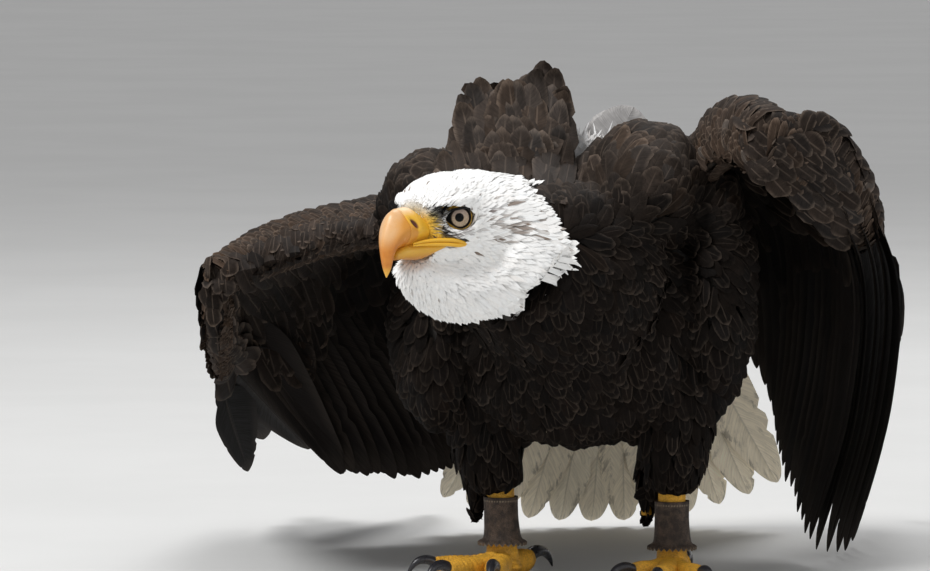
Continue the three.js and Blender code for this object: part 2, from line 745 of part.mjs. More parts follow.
// A leather sleeve round the tarsus, flared at its lower rim.
const anklet = (leg) => (grow) => {
  const axis = (z) => {
    const s = (z - ANKLE) / (TARSUS.top - ANKLE);
    return leg.foot.clone().lerp(leg.heel, s).setZ(z);
  };
  const outline = [
    [ANKLET.low, ANKLET.rim],
    [ANKLET.low + ANKLET.flare, ANKLET.outer + ANKLET.swell],
    [ANKLET.high, ANKLET.outer],
  ];
  const shell = (radii, pad) =>
    tube(
      outline.map(([z], i) => axis(z + (i === 0 ? -pad : i === 2 ? pad : 0))),
      radii,
      { sides: 12, steps: 2, grow, above: vec(0, -1, 0) },
    );
  const outside = shell(
    outline.map(([, r]) => r),
    0,
  );
  if (grow) return outside;
  return outside.subtract(shell(outline.map(() => ANKLET.inner), 2));
};

// Toe order: inner, middle and outer in front, then the hind toe. Angles are off the foot's own forward
// direction, positive towards the bird's left for a left foot.
const TOES = [
  { name: "inner", angle: -30, length: 44, radius: 7.4, claw: 30, clawRadius: 4.9 },
  { name: "middle", angle: 0, length: 62, radius: 7.4, claw: 27, clawRadius: 4.5 },
  { name: "outer", angle: 32, length: 50, radius: 6.6, claw: 23, clawRadius: 4.0 },
  { name: "hind", angle: 176, length: 32, radius: 7.6, claw: 33, clawRadius: 5.3 },
];

function toePoint(leg, mirror, toe, reach, height) {
  const heading = radians(leg.yaw + mirror * toe.angle);
  return leg.foot.clone().add(vec(Math.sin(heading) * reach, -Math.cos(heading) * reach, height));
}
const toeSolid = (leg, mirror, toe, grow) => {
  const points = [
    [2, 11],
    [toe.length * 0.4, 8.5],
    [toe.length * 0.78, 8.4],
    [toe.length, 10],
  ].map(([reach, height]) => toePoint(leg, mirror, toe, reach, height));
  const r = toe.radius;
  return tube(points, [r + 2, r + 0.3, r + 0.6, r * 0.78], { sides: 6, grow });
};
const foot = (leg, mirror) => (grow) =>
  united([
    ellipsoid(leg.foot.clone().setZ(11), vec(15, 15, 12), { grow, across: 8, rows: 4 }),
    ...TOES.map((toe) => toeSolid(leg, mirror, toe, grow)),
  ]);
const claw = (leg, mirror, toe) => (grow) => {
  const start = toe.length - 1.5;
  const r = toe.clawRadius;
  const points = [
    [start, 10],
    [start + toe.claw * 0.34, 13.2],
    [start + toe.claw * 0.66, 12.2],
    [start + toe.claw * 0.88, 7.2],
    [start + toe.claw, 1.2],
  ].map(([reach, height]) => toePoint(leg, mirror, toe, reach, height));
  return tube(points, [r, r * 0.9, r * 0.68, r * 0.4, 0.7], { sides: 5, grow });
};

// ---------------------------------------------------------------- materials

const finish = (color, roughness) => new THREE.MeshStandardMaterial({ color, roughness, metalness: 0 });
const FINISH = {
  white: finish("#e9e7e2", 0.85),
  brown: finish("#2b211d", 0.8),
  dark: finish("#1d1715", 0.75),
  cream: finish("#e4dcc6", 0.8),
  bill: finish("#e79a1d", 0.4),
  cere: finish("#e8b126", 0.5),
  eye: finish("#cdbfa8", 0.1),
  toe: finish("#e59a1c", 0.6),
  claw: finish("#1a1c22", 0.35),
  leather: finish("#3a3531", 0.7),
};

// ---------------------------------------------------------------- assembly

// Pieces in the order in which they are made; each is cut back by those before it.
const PIECES = [];
const piece = (name, make, material) => PIECES.push({ name, make, material });

piece("eye_left", eye(1), FINISH.eye);
piece("eye_right", eye(-1), FINISH.eye);
piece("bill_upper", upperBill, FINISH.bill);
piece("bill_cere", cere, FINISH.cere);
piece("bill_lower", lowerBill, FINISH.bill);
piece("head", skull, FINISH.white);
for (const side of ["right", "left"]) {
  const leg = LEGS[side];
  const mirror = side === "left" ? 1 : -1;
  piece(`foot_${side}`, foot(leg, mirror), FINISH.toe);
  for (const toe of TOES) piece(`claw_${side}_${toe.name}`, claw(leg, mirror, toe), FINISH.claw);
  piece(`tarsus_${side}`, tarsus(leg), FINISH.toe);
  piece(`anklet_${side}`, anklet(leg), FINISH.leather);
}
piece("neck_hood", hood, FINISH.white);
piece("neck_base", neck, FINISH.brown);
piece("trunk", trunk, FINISH.brown);
piece("rump", rump, FINISH.brown);
piece("mantle_raised", mantle, FINISH.brown);
piece("scapular_lifted", liftedFeather, FINISH.brown);
for (const side of ["right", "left"]) {
  piece(`thigh_${side}`, thigh(LEGS[side]), FINISH.brown);
  const wing = WINGS[side];
  const { arm, hand, dorsal, handFace, twisted } = wing;
  const armAt = range(TERTIALS_FROM, WRIST, 8);
  const handAt = range(WRIST, LAST + HAND_PAST, 6);
  const lie = twisted ? { outward: handFace, steady: true } : {};
  const overArm = coverts({ half: arm, dorsal, us: armAt, reach: COVERTS.arm, deep: ARM_DEPTH });
  const overHand = coverts({ half: hand, dorsal, us: handAt, reach: COVERTS.hand, deep: HAND_DEPTH, ...lie });
  const inner = panel(hand, dorsal, WRIST + 0.5, LAST - OUTER.count, COVERTS.hand);
  const secondaries = panel(arm, dorsal, TERTIALS_FROM + 1, WRIST - 0.5, COVERTS.arm);
  piece(`wing_${side}_arm`, overArm, FINISH.brown);
  piece(`wing_${side}_hand`, overHand, FINISH.brown);
  piece(`wing_${side}_alula`, alula(wing), FINISH.dark);
  for (const number of [10, 9, 8]) {
    piece(`wing_${side}_primary_${number}`, primary(wing, number), FINISH.dark);
  }
  piece(`wing_${side}_primaries`, inner, FINISH.dark);
  piece(`wing_${side}_secondaries`, secondaries, FINISH.dark);
}
piece("tail", tail, FINISH.cream);

const boxesMeet = (a, b) => [0, 1, 2].every((k) => a.min[k] < b.max[k] && b.min[k] < a.max[k]);

// Everything below the floor is taken off, which leaves the soles, claws and feather tips flat there.
const underFloor = solidOf(new THREE.BoxGeometry(2 * SPAN, 2 * SPAN, SPAN).translate(0, 100, -SPAN / 2));

// The largest body of a cut piece, its vertices merged as they will be when it is written.
function settled(solid) {
  const merged = solidOf(geometryOf(solid));
  return merged.decompose().reduce((best, s) => (s.volume() > best.volume() ? s : best));
}

// Where a sheet folds tightly its grown shape can leave some of it out: the neighbour's own shape, raised and
// lowered by the gap, clears the rest.
function cleared(solid, placed) {
  if (solid.intersect(placed).volume() <= 0) return solid;
  const copies = [-GAP, 0, GAP].map((rise) => solidOf(geometryOf(placed).translate(0, 0, rise)));
  return copies.reduce((rest, copy) => rest.subtract(copy), solid);
}

const bird = new THREE.Group();
const cutters = [];
for (const { name, make, material } of PIECES) {
  let solid = make(0).subtract(underFloor);
  const box = solid.boundingBox();
  const near = cutters.filter((cutter) => boxesMeet(box, cutter.box));
  for (const { grown } of near) solid = solid.subtract(grown);
  for (const { placed } of near) solid = cleared(solid, placed);
  solid = settled(solid);
  const grown = make(GAP);
  cutters.push({ grown, placed: solid, box: grown.boundingBox() });
  const mesh = new THREE.Mesh(geometryOf(solid), material);
  mesh.name = name;
  bird.add(mesh);
}

// The origin is the middle of the footprint, on the floor.
const extent = new THREE.Box3().setFromObject(bird);
const middle = extent.getCenter(new THREE.Vector3());
for (const { geometry } of bird.children) geometry.translate(-middle.x, -middle.y, -extent.min.z);

export default bird;
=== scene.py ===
"""The looks of the bald eagle: one skin over the solids' flesh, and every feather a thin closed vane on it.

Lengths are in millimetres in the solids' own layout, in which the head, wing, tail and leg tables below are
written; row() turns them into the row frame's metres. x is to the bird's left, y to its rear and z up.
"""
import math

import bmesh
import bpy
import numpy as np
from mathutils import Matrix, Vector
from mathutils.bvhtree import BVHTree


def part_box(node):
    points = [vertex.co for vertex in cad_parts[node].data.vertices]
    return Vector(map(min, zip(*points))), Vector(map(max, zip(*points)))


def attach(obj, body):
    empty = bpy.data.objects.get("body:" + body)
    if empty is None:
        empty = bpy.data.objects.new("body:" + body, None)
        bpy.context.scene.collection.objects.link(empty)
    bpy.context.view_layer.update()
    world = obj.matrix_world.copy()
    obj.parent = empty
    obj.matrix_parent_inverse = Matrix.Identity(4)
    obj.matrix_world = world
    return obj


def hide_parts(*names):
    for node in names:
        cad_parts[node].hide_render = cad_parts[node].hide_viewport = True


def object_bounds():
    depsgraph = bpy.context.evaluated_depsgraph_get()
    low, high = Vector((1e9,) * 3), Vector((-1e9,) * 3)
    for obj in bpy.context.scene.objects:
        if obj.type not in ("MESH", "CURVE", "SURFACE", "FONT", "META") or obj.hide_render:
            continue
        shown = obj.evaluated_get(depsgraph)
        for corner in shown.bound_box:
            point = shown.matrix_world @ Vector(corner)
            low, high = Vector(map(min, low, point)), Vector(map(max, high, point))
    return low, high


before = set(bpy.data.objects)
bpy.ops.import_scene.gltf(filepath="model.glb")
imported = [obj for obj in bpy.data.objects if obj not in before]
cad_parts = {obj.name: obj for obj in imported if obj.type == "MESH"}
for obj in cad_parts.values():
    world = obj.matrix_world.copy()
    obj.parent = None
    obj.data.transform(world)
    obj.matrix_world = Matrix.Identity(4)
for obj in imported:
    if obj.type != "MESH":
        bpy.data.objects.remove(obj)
CAD_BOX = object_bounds()
rng = np.random.default_rng(7)


# ------------------------------------------------------------------ frames and interpolation

def unit(v):
    v = np.asarray(v, float)
    return v / np.maximum(np.linalg.norm(v, axis=-1, keepdims=True), 1e-9)


def turned(yaw, pitch):
    a, c = np.radians([yaw, pitch])
    z = np.array([[math.cos(a), -math.sin(a), 0], [math.sin(a), math.cos(a), 0], [0, 0, 1]])
    x = np.array([[1, 0, 0], [0, math.cos(c), -math.sin(c)], [0, math.sin(c), math.cos(c)]])
    return z @ x


def smooth(x, low=0.0, high=1.0):
    x = np.clip((np.asarray(x, float) - low) / (high - low), 0, 1)
    return x * x * (3 - 2 * x)


def blend(a, b, w):
    w = np.asarray(w)[..., None]
    return np.asarray(a) * (1 - w) + np.asarray(b) * w


def hermite(s, start, slope, end, end_slope):
    """The cubic between two places that have slopes, at the share s of the way."""
    return (
        (2 * s**3 - 3 * s**2 + 1) * start + (s**3 - 2 * s**2 + s) * slope
        + (3 * s**2 - 2 * s**3) * end + (s**3 - s**2) * end_slope
    )


def spline(ts, ps, t):
    """Hermite curve through the points ps at the parameters ts, read at every t."""
    ts, ps, t = np.asarray(ts, float), np.asarray(ps, float), np.asarray(t, float)
    a = np.clip(np.searchsorted(ts, t) - 1, 0, len(ts) - 2)
    b, before, after = a + 1, np.maximum(a - 1, 0), np.minimum(a + 2, len(ts) - 1)
    wide = (lambda x: x) if ps.ndim == 1 else (lambda x: x[..., None])
    span = ts[b] - ts[a]
    s = wide((t - ts[a]) / span)
    m0 = (ps[b] - ps[before]) * wide(span / (ts[b] - ts[before]))
    m1 = (ps[after] - ps[a]) * wide(span / (ts[after] - ts[a]))
    return hermite(s, ps[a], m0, ps[b], m1)


def varied(spread, count):
    """Random factors about 1."""
    return np.exp(rng.normal(0, spread, count))


HEAD = {"centre": np.array([-89.0, -190, 265]), "turn": turned(-36, 4)}
EYE = {"forward": -5, "side": 16.5, "up": 0}


def face(forward, side, up):
    """A point of the head: ahead of its middle, to the bird's left and up."""
    local = np.stack(np.broadcast_arrays(side, -np.asarray(forward, float), up), axis=-1)
    return HEAD["centre"] + local @ HEAD["turn"].T


def in_head(points):
    """How far each point is ahead of the head's middle, to the bird's left of it and above it."""
    local = (np.asarray(points) - HEAD["centre"]) @ HEAD["turn"]
    return -local[..., 1], local[..., 0], local[..., 2]


def spot(f, u, at, wide):
    """A soft patch on the head's sides: 1 at its middle (forward, up), 0 far outside its half widths."""
    return np.exp(-(((f - at[0]) / wide[0]) ** 2) - ((u - at[1]) / wide[1]) ** 2)


def eye_centre(side):
    return face(EYE["forward"], side * EYE["side"], EYE["up"])


HEAD_UP = face(0, 0, 1) - face(0, 0, 0)
MM = 1000.0
eye_low, eye_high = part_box("eye_left")
SHIFT = eye_centre(1) - np.array((eye_low + eye_high) / 2) * MM


def row(points):
    """From millimetres in the solids' layout to the row frame's metres."""
    return (np.asarray(points, float) - SHIFT) / MM


# ------------------------------------------------------------------ materials

class Nodes:
    """Short calls for a material's node tree."""

    def __init__(self, name):
        self.material = bpy.data.materials.new(name)
        self.material.use_nodes = True
        self.tree = self.material.node_tree
        self.shader = self.tree.nodes["Principled BSDF"]

    def put(self, value, socket):
        """Links an output to the socket, or sets the socket's own value. A tuple is a colour."""
        if isinstance(value, bpy.types.NodeSocket):
            self.tree.links.new(value, socket)
        else:
            socket.default_value = (*value, 1)[:4] if isinstance(value, tuple) else value

    def add(self, kind, values=(), **settings):
        node = self.tree.nodes.new(kind)
        for key, value in settings.items():
            setattr(node, key, value)
        for key, value in dict(values).items():
            self.put(value, node.inputs[key])
        return node

    def math(self, operation, a, b=0.0, c=0.0, clamp=False):
        return self.add("ShaderNodeMath", {0: a, 1: b, 2: c}, operation=operation, use_clamp=clamp).outputs[0]

    def fade(self, value, low, high, to_low=0.0, to_high=1.0):
        values = {"Value": value, "From Min": low, "From Max": high, "To Min": to_low, "To Max": to_high}
        return self.add("ShaderNodeMapRange", values, interpolation_type="SMOOTHSTEP").outputs["Result"]

    def mix(self, factor, a, b, blend="MIX"):
        node = self.add("ShaderNodeMix", data_type="RGBA", blend_type=blend)
        for socket, value in ((0, factor), (6, a), (7, b)):
            self.put(value, node.inputs[socket])
        return node.outputs[2]

    def noise(self, vector, scale, detail=3.0, rough=0.6):
        values = {"Vector": vector, "Scale": scale, "Detail": detail, "Roughness": rough}
        return self.add("ShaderNodeTexNoise", values).outputs["Fac"]

    def cells(self, vector, scale, rim):
        """Flat scales with a furrow round each: 0 in the furrow, 1 beyond its rim."""
        values = {"Vector": vector, "Scale": scale}
        cell = self.add("ShaderNodeTexVoronoi", values, feature="DISTANCE_TO_EDGE")
        return self.fade(cell.outputs["Distance"], 0.0, rim)

    def attribute(self, name):
        return self.add("ShaderNodeAttribute", attribute_name=name)

    def place(self):
        return self.add("ShaderNodeTexCoord").outputs["Object"]

    def split(self, vector):
        return self.add("ShaderNodeSeparateXYZ", {0: vector}).outputs

    def join(self, x, y, z):
        return self.add("ShaderNodeCombineXYZ", {0: x, 1: y, 2: z}).outputs[0]

    def shaded(self, color, shade):
        return self.mix(1.0, color, self.join(shade, shade, shade), "MULTIPLY")

    def vane(self):
        """What a vane carries: tint, place across and along, its own number, and distance from its shaft."""
        tint = self.attribute("tint")
        across, along, chance = self.split(self.attribute("vane").outputs["Vector"])
        return tint, across, along, chance, self.math("ABSOLUTE", across)

    def streaks(self, lie, fine, across, wide, chance, detail=2.0, rough=0.6):
        """Noise drawn out along a vane's barbs."""
        place = self.join(self.math("MULTIPLY", lie, fine), self.math("MULTIPLY", across, wide), chance)
        return self.noise(place, 1.0, detail, rough)

    def finish(self, color, roughness, height=None, distance=0.001, strength=0.5, **sockets):
        values = {"Base Color": color, "Roughness": roughness}
        values.update({key.replace("_", " "): value for key, value in sockets.items()})
        if height is not None:
            bump = self.add("ShaderNodeBump", {"Height": height, "Distance": distance, "Strength": strength})
            values["Normal"] = bump.outputs[0]
        for key, value in values.items():
            self.put(value, self.shader.inputs[key])
        return self.material


def feather_material(name, barb, gloss, edge, relief=0.6):
    """Vanes in their own tint, whose alpha is the paleness of shaft and edge, with fine streaks for barbs.
    barb is how fine the streaks are, gloss the least roughness, and edge the light added at pale edges."""
    n = Nodes(name)
    tint, across, along, chance, side = n.vane()
    lie = n.math("MULTIPLY_ADD", side, -0.16, along)
    barbs = n.streaks(lie, barb, across, 1.3, chance)
    patches = n.noise(n.join(n.math("MULTIPLY", along, 3.0), across, chance), 1.4, 3.0)
    pale = n.mix(1.0, n.mix(1.0, tint.outputs["Color"], (1.8, 1.75, 1.7), "MULTIPLY"), edge, "ADD")
    rim = n.math("MAXIMUM", n.fade(side, 0.62, 0.98, 0.0, 0.75), n.fade(along, 0.86, 1.0))
    rim = n.math("MULTIPLY", n.math("MULTIPLY", rim, n.fade(along, 0.3, 0.7)), tint.outputs["Alpha"])
    rim = n.math("MULTIPLY", rim, n.fade(barbs, 0.3, 0.62, 0.45, 1.0), clamp=True)
    shaft = n.math("MULTIPLY", n.fade(side, 0.11, 0.02), n.fade(along, 1.0, 0.7, 0.0, 0.5))
    spread = 0.42 * relief
    shade = n.fade(barbs, 0.25, 0.75, 1 - spread, 1 + spread)
    shade = n.math("MULTIPLY", shade, n.fade(patches, 0.2, 0.8, 1 - spread, 1 + spread))
    color = n.shaded(tint.outputs["Color"], shade)
    color = n.mix(n.math("MULTIPLY", shaft, tint.outputs["Alpha"]), color, pale)
    color = n.mix(rim, color, pale)
    height = n.math("MULTIPLY_ADD", barbs, 0.6, shaft)
    rough = n.fade(barbs, 0.2, 0.8, gloss, gloss + 0.2)
    return n.finish(color, rough, height, 0.0006, relief, Specular_IOR_Level=0.05)


def tail_material():
    """Cream-white vanes with dark mottling that gathers at the base and along the outer edges."""
    n = Nodes("tail_feathers")
    tint, across, along, chance, side = n.vane()
    lie = n.math("MULTIPLY_ADD", side, -0.1, along)
    barbs = n.streaks(lie, 130.0, across, 1.2, chance)
    mottle = n.streaks(lie, 22.0, across, 1.8, chance, 4.0, 0.7)
    where = n.math("MAXIMUM", n.fade(along, 0.45, 0.05, 0.0, 0.8), n.fade(along, 0.9, 1.0, 0.0, 0.5))
    where = n.math("MAXIMUM", where, n.fade(side, 0.3, 1.0, 0.12, 0.6))
    dark = n.math("MULTIPLY", n.fade(mottle, 0.5, 0.66), where, clamp=True)
    shade = n.fade(barbs, 0.25, 0.75, 0.82, 1.08)
    color = n.mix(dark, n.shaded(tint.outputs["Color"], shade), (0.05, 0.038, 0.03))
    color = n.mix(n.fade(side, 0.06, 0.01, 0.0, 0.6), color, (0.55, 0.5, 0.4))
    return n.finish(color, n.fade(barbs, 0.2, 0.8, 0.5, 0.65), barbs, 0.0004, 0.5, Specular_IOR_Level=0.35)


PLUMAGE = feather_material("plumage", barb=46.0, gloss=0.62, edge=(0.11, 0.085, 0.066))
WHITE = feather_material("plumage_white", barb=14.0, gloss=0.8, edge=(0.0, 0.0, 0.0), relief=0.10)
FLIGHT_VANE = feather_material("flight_vanes", barb=150.0, gloss=0.6, edge=(0.09, 0.075, 0.062))
LIFTED_VANE = feather_material("lifted_vane", barb=60.0, gloss=0.6, edge=(0.2, 0.2, 0.2), relief=0.4)
TAIL_VANE = tail_material()


# ------------------------------------------------------------------ meshes

def linked(name, data):
    holder = bpy.data.objects.new(name, data)
    bpy.context.scene.collection.objects.link(holder)
    return holder


def new_mesh(name, points, faces, material, replaces=()):
    """A smooth mesh piece from points in millimetres and faces, as tuples or as arrays of like faces."""
    data = bpy.data.meshes.new(name)
    points = row(points)
    if isinstance(faces[0], np.ndarray):
        corners = np.concatenate([f.ravel() for f in faces]).astype(np.int32)
        sizes = np.concatenate([np.full(len(f), f.shape[1]) for f in faces])
        data.vertices.add(len(points))
        data.vertices.foreach_set("co", np.ascontiguousarray(points, np.float32).ravel())
        data.loops.add(len(corners))
        data.loops.foreach_set("vertex_index", corners)
        data.polygons.add(len(sizes))
        data.polygons.foreach_set("loop_start", np.r_[0, np.cumsum(sizes)[:-1]].astype(np.int32))
        data.update(calc_edges=True)
    else:
        data.from_pydata(points.tolist(), [], faces)
    data.polygons.foreach_set("use_smooth", np.ones(len(data.polygons), bool))
    data.materials.append(material)
    piece = linked(name, data)
    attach(piece, "root")
    if replaces:
        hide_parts(*replaces)
    return piece


def set_attribute(data, name, kind, values):
    layer = data.attributes.new(name, kind, "POINT")
    key = "color" if kind == "FLOAT_COLOR" else "vector"
    layer.data.foreach_set(key, np.ascontiguousarray(values, np.float32).ravel())


def set_tint(piece, tint):
    set_attribute(piece.data, "tint", "FLOAT_COLOR", tint)


def grid_faces(rings, sides):
    """Quads between rings of points, wrapped round."""
    i, j = np.meshgrid(np.arange(rings - 1), np.arange(sides), indexing="ij")
    a = i * sides + j
    b = i * sides + (j + 1) % sides
    return np.stack([a, b, b + sides, a + sides], axis=-1).reshape(-1, 4)


def capped_faces(rings, sides, way=1):
    """Faces of a closed tube: rings of points and then its two end points. way -1 turns them inside out."""
    first, last = rings * sides, (rings - 1) * sides
    faces = grid_faces(rings, sides).tolist()
    faces += [(first, (j + 1) % sides, j) for j in range(sides)]
    faces += [(first + 1, last + j, last + (j + 1) % sides) for j in range(sides)]
    return [tuple(f[::way]) for f in faces]


def joined(parts):
    """Several lists of points and faces as one."""
    points, faces, start = [], [], 0
    for p, f in parts:
        points.append(np.asarray(p))
        faces += [tuple(int(i) + start for i in q) for q in f]
        start += len(p)
    return np.concatenate(points), faces


def vectors(items, key):
    out = np.empty(len(items) * 3, np.float32)
    items.foreach_get(key, out)
    return out.reshape(-1, 3)


def arrays(data):
    """A mesh's points in millimetres and its faces."""
    return vectors(data.vertices, "co") * MM + SHIFT, [tuple(p.vertices) for p in data.polygons]


def cad(*names):
    return [arrays(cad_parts[name].data) for name in names]


def remeshed(parts, voxel, passes):
    """One closed, smoothed surface round several: points, faces and point normals."""
    points, faces = joined(parts)
    data = bpy.data.meshes.new("scratch")
    data.from_pydata(row(points).tolist(), [], faces)
    piece = linked("scratch", data)
    shrink = piece.modifiers.new("remesh", "REMESH")
    shrink.mode = "VOXEL"
    shrink.voxel_size = voxel / MM
    ease = piece.modifiers.new("ease", "SMOOTH")
    ease.factor = 0.5
    ease.iterations = passes
    done = piece.evaluated_get(bpy.context.evaluated_depsgraph_get()).to_mesh()
    result = (*arrays(done), vectors(done.vertex_normals, "vector").astype(float))
    bpy.data.objects.remove(piece)
    bpy.data.meshes.remove(data)
    return result


class Surface:
    """Nearest point and steady normal on a closed surface."""

    def __init__(self, points, faces, normals):
        self.tree = BVHTree.FromPolygons(points.tolist(), faces)
        self.faces, self.normals, self.points = faces, normals, points

    def near(self, p):
        place, _, index, distance = self.tree.find_nearest(p)
        corners = self.faces[index]
        weight = [1 / (0.05 + math.dist(self.points[c], place)) for c in corners]
        n = sum((self.normals[c] * w for c, w in zip(corners, weight)), np.zeros(3))
        return np.array(place), n / np.linalg.norm(n), distance


# ------------------------------------------------------------------ wings

HALVES = ("arm", "hand")
WRIST, LAST = 14.5, 24
# Each row of a half: g, the front edge, the flight feathers' roots, their tips, and the height of the arch
# between roots and tips. "dorsal" and "hand_face" point out of the wing's upper side.
WINGS = {
    "left": {
        "dorsal": (0.9, 0.1, 0.5), "hand_face": (0.8, -0.1, 0.6),
        "arm": [
            (-4, (44, -36, 296), (60, 118, 284), (84, 232, 196), 14),
            (0, (86, -46, 276), (108, 112, 284), (146, 205, 128), 18),
            (7, (108, -84, 298), (132, 2, 314), (162, 150, 60), 40),
            (WRIST, (132, -124, 289), (150, -98, 315), (180, 76, 12), 46),
        ],
        "hand": [
            (WRIST, (132, -124, 289), (150, -98, 315), (180, 76, 12), 46),
            (17, (154, -101, 274), (180, -73, 314), (202, 138, 3), 42),
            (19, (168, -78, 260), (192, -50, 300), (216, 196, 5), 34),
            (21, (186, -52, 246), (207, -24, 278), (238, 350, 46), 20),
            (22, (194, -38, 240), (212, -12, 266), (243, 396, 79), 10),
            (23, (202, -20, 234), (216, 2, 254), (246, 383, 88), 6),
            (24, (208, -4, 228), (218, 14, 242), (249, 315, 134), 4),
        ],
    },
    "right": {
        "dorsal": (-0.75, 0.2, 0.65), "hand_face": (-0.45, 0.3, 0.84),
        "arm": [
            (-4, (-54, -36, 268), (-62, 118, 258), (-10, 246, 168), 12),
            (0, (-92, -44, 252), (-136, 112, 236), (-52, 262, 70), 16),
            (7, (-158, -76, 242), (-196, 6, 226), (-92, 250, 46), 26),
            (WRIST, (-230, -114, 212), (-234, -94, 216), (-162, 214, 52), 28),
        ],
        "hand": [
            (WRIST, (-230, -114, 212), (-234, -94, 216), (-162, 214, 52), 28),
            (19, (-236, -62, 170), (-235, -48, 176), (-118, 345, 40), 22),
            (21, (-238, -32, 157), (-236, -18, 164), (-112, 405, 34), 16),
            (22, (-239, -16, 151), (-237, -4, 158), (-183, 344, 56), 10),
            (23, (-240, 2, 145), (-238, 13, 152), (-216, 370, 59), 6),
            (24, (-240, 20, 138), (-238, 30, 145), (-225, 316, 38), 4),
        ],
    },
}
DEPTH = {"arm": ([-4, 7, WRIST], [34, 36, 26]), "hand": ([WRIST, 18, 25], [24, 24, 14])}
REACH = {"arm": 0.4, "hand": 0.24}
KNOTS = np.array([-1, 0, 1 / 3, 2 / 3, 1])  # v at the front edge, the roots, twice in the arch, and the tips
THIN_FRONT, THIN_BACK = 0.94, 0.86  # how much of its depth the plumage loses at the front and rear edges
ABOVE, BELOW = 0.55, 0.45  # the plumage's shares over and under the bones
WING_SINK = 5


def wing_point(wing, half, g, v):
    """The wing's middle surface: g counts flight feathers outwards, v runs from -1 at the front to 1."""
    g, v = np.broadcast_arrays(np.asarray(g, float), np.asarray(v, float))
    shape, g, v = g.shape, g.ravel(), v.ravel()
    table = WINGS[wing][half]
    ts = [s[0] for s in table]
    lead, root, tip = (spline(ts, [s[k] for s in table], g) for k in (1, 2, 3))
    bulge = spline(ts, [s[4] for s in table], g)[:, None]
    chord = tip - root
    dorsal = np.array(WINGS[wing]["dorsal"])
    out = unit(dorsal - chord * ((chord @ dorsal) / (chord * chord).sum(1))[:, None])
    near, beyond = root + 0.33 * chord + bulge * out, root + 0.67 * chord + 0.8 * bulge * out
    knots = np.stack([lead, root, near, beyond, tip], 1)
    a = np.clip(np.searchsorted(KNOTS, v) - 1, 0, 3)
    b, before, after = a + 1, np.maximum(a - 1, 0), np.minimum(a + 2, 4)
    k = np.arange(len(v))
    span = (KNOTS[b] - KNOTS[a])[:, None]
    s = (v - KNOTS[a])[:, None] / span
    m0 = (knots[k, b] - knots[k, before]) * span / (KNOTS[b] - KNOTS[before])[:, None]
    m1 = (knots[k, after] - knots[k, a]) * span / (KNOTS[after] - KNOTS[a])[:, None]
    return hermite(s, knots[k, a], m0, knots[k, b], m1).reshape(*shape, 3)


def wing_normal(wing, half, g, v):
    """Outward from the upper side. The hand's is steadied by its feathers' common facing."""
    step = 0.02
    du = unit(wing_point(wing, half, g + step, v) - wing_point(wing, half, g - step, v))
    dv = unit(wing_point(wing, half, g, v + step) - wing_point(wing, half, g, v - step))
    across = np.cross(du, dv)
    facing = np.array(WINGS[wing]["dorsal" if half == "arm" else "hand_face"])
    across = across * np.sign((across * facing).sum(-1).sum())
    if half == "hand":
        across = 0.45 * across + 0.55 * facing
        across = across - dv * (across * dv).sum(-1, keepdims=True)
    return unit(across)


def wing_depth(half, g, v):
    """Half thicknesses of the plumage above and below the bones."""
    full = spline(*DEPTH[half], g)
    v = np.asarray(v, float)
    front = np.sqrt(1 - np.minimum(v, 0) ** 2 * THIN_FRONT)
    back = 1 - THIN_BACK * smooth(v / REACH[half])
    return ABOVE * full * front * back, BELOW * full * front * back


def wing_flesh(wing, half):
    """The closed flesh of one half of a wing, sunk under its feathers."""
    ends = (-4, WRIST) if half == "arm" else (WRIST, LAST)
    gs, vs = np.linspace(*ends, 26), np.concatenate([np.linspace(-1, 0, 9), np.linspace(0.06, 0.22, 3)])
    g, v = np.meshgrid(gs, vs, indexing="ij")
    centre, normal = wing_point(wing, half, g, v), wing_normal(wing, half, g, v)
    above, below = (np.maximum(d - WING_SINK, 1.6)[..., None] for d in wing_depth(half, g, v))
    rings = np.concatenate([centre + normal * above, (centre - normal * below)[:, ::-1]], axis=1)
    sides = rings.shape[1]
    faces = grid_faces(len(gs), sides).tolist()
    faces += [list(range(sides))[::-1], [(len(gs) - 1) * sides + k for k in range(sides)]]
    return rings.reshape(-1, 3), [tuple(f) for f in faces]


# ------------------------------------------------------------------ the plumage's outside and the flesh

FLESH = ["neck_base", "neck_hood", "trunk", "rump", "thigh_left", "thigh_right", "mantle_raised"]
guide_points, guide_faces, guide_normals = remeshed(cad("head", *FLESH), voxel=3.6, passes=14)
outside = Surface(guide_points, guide_faces, guide_normals)

PLUMAGE_DEPTH = {"head": 5.0, "body": 8.0}
TUFT = {"middle": np.array([-31.0, 4, 306]), "low": 300, "full": 322, "shrink": [0.55, 0.35, 0.5]}


def build_skin():
    """The flesh under the plumage, with the wings' flesh joined on; thin within the raised tuft."""
    f, s, u = in_head(guide_points)
    x, y, z = guide_points.T
    inner_head = (f > -45) & (np.abs(s) < 45) & (np.abs(u) < 50)
    depth = np.where(inner_head, PLUMAGE_DEPTH["head"], PLUMAGE_DEPTH["body"])
    flesh = guide_points - guide_normals * depth[:, None]
    tuft = smooth(z, TUFT["low"], TUFT["full"]) * (y > -60) * smooth(-x, -16, -4)
    thin = TUFT["middle"] + (guide_points - TUFT["middle"]) * TUFT["shrink"]
    flesh = blend(flesh, thin, tuft)
    parts = [(flesh, guide_faces)]
    parts += [wing_flesh(wing, half) for wing in WINGS for half in HALVES]
    return remeshed(parts, voxel=3.4, passes=4)


# ------------------------------------------------------------------ light, floor and camera

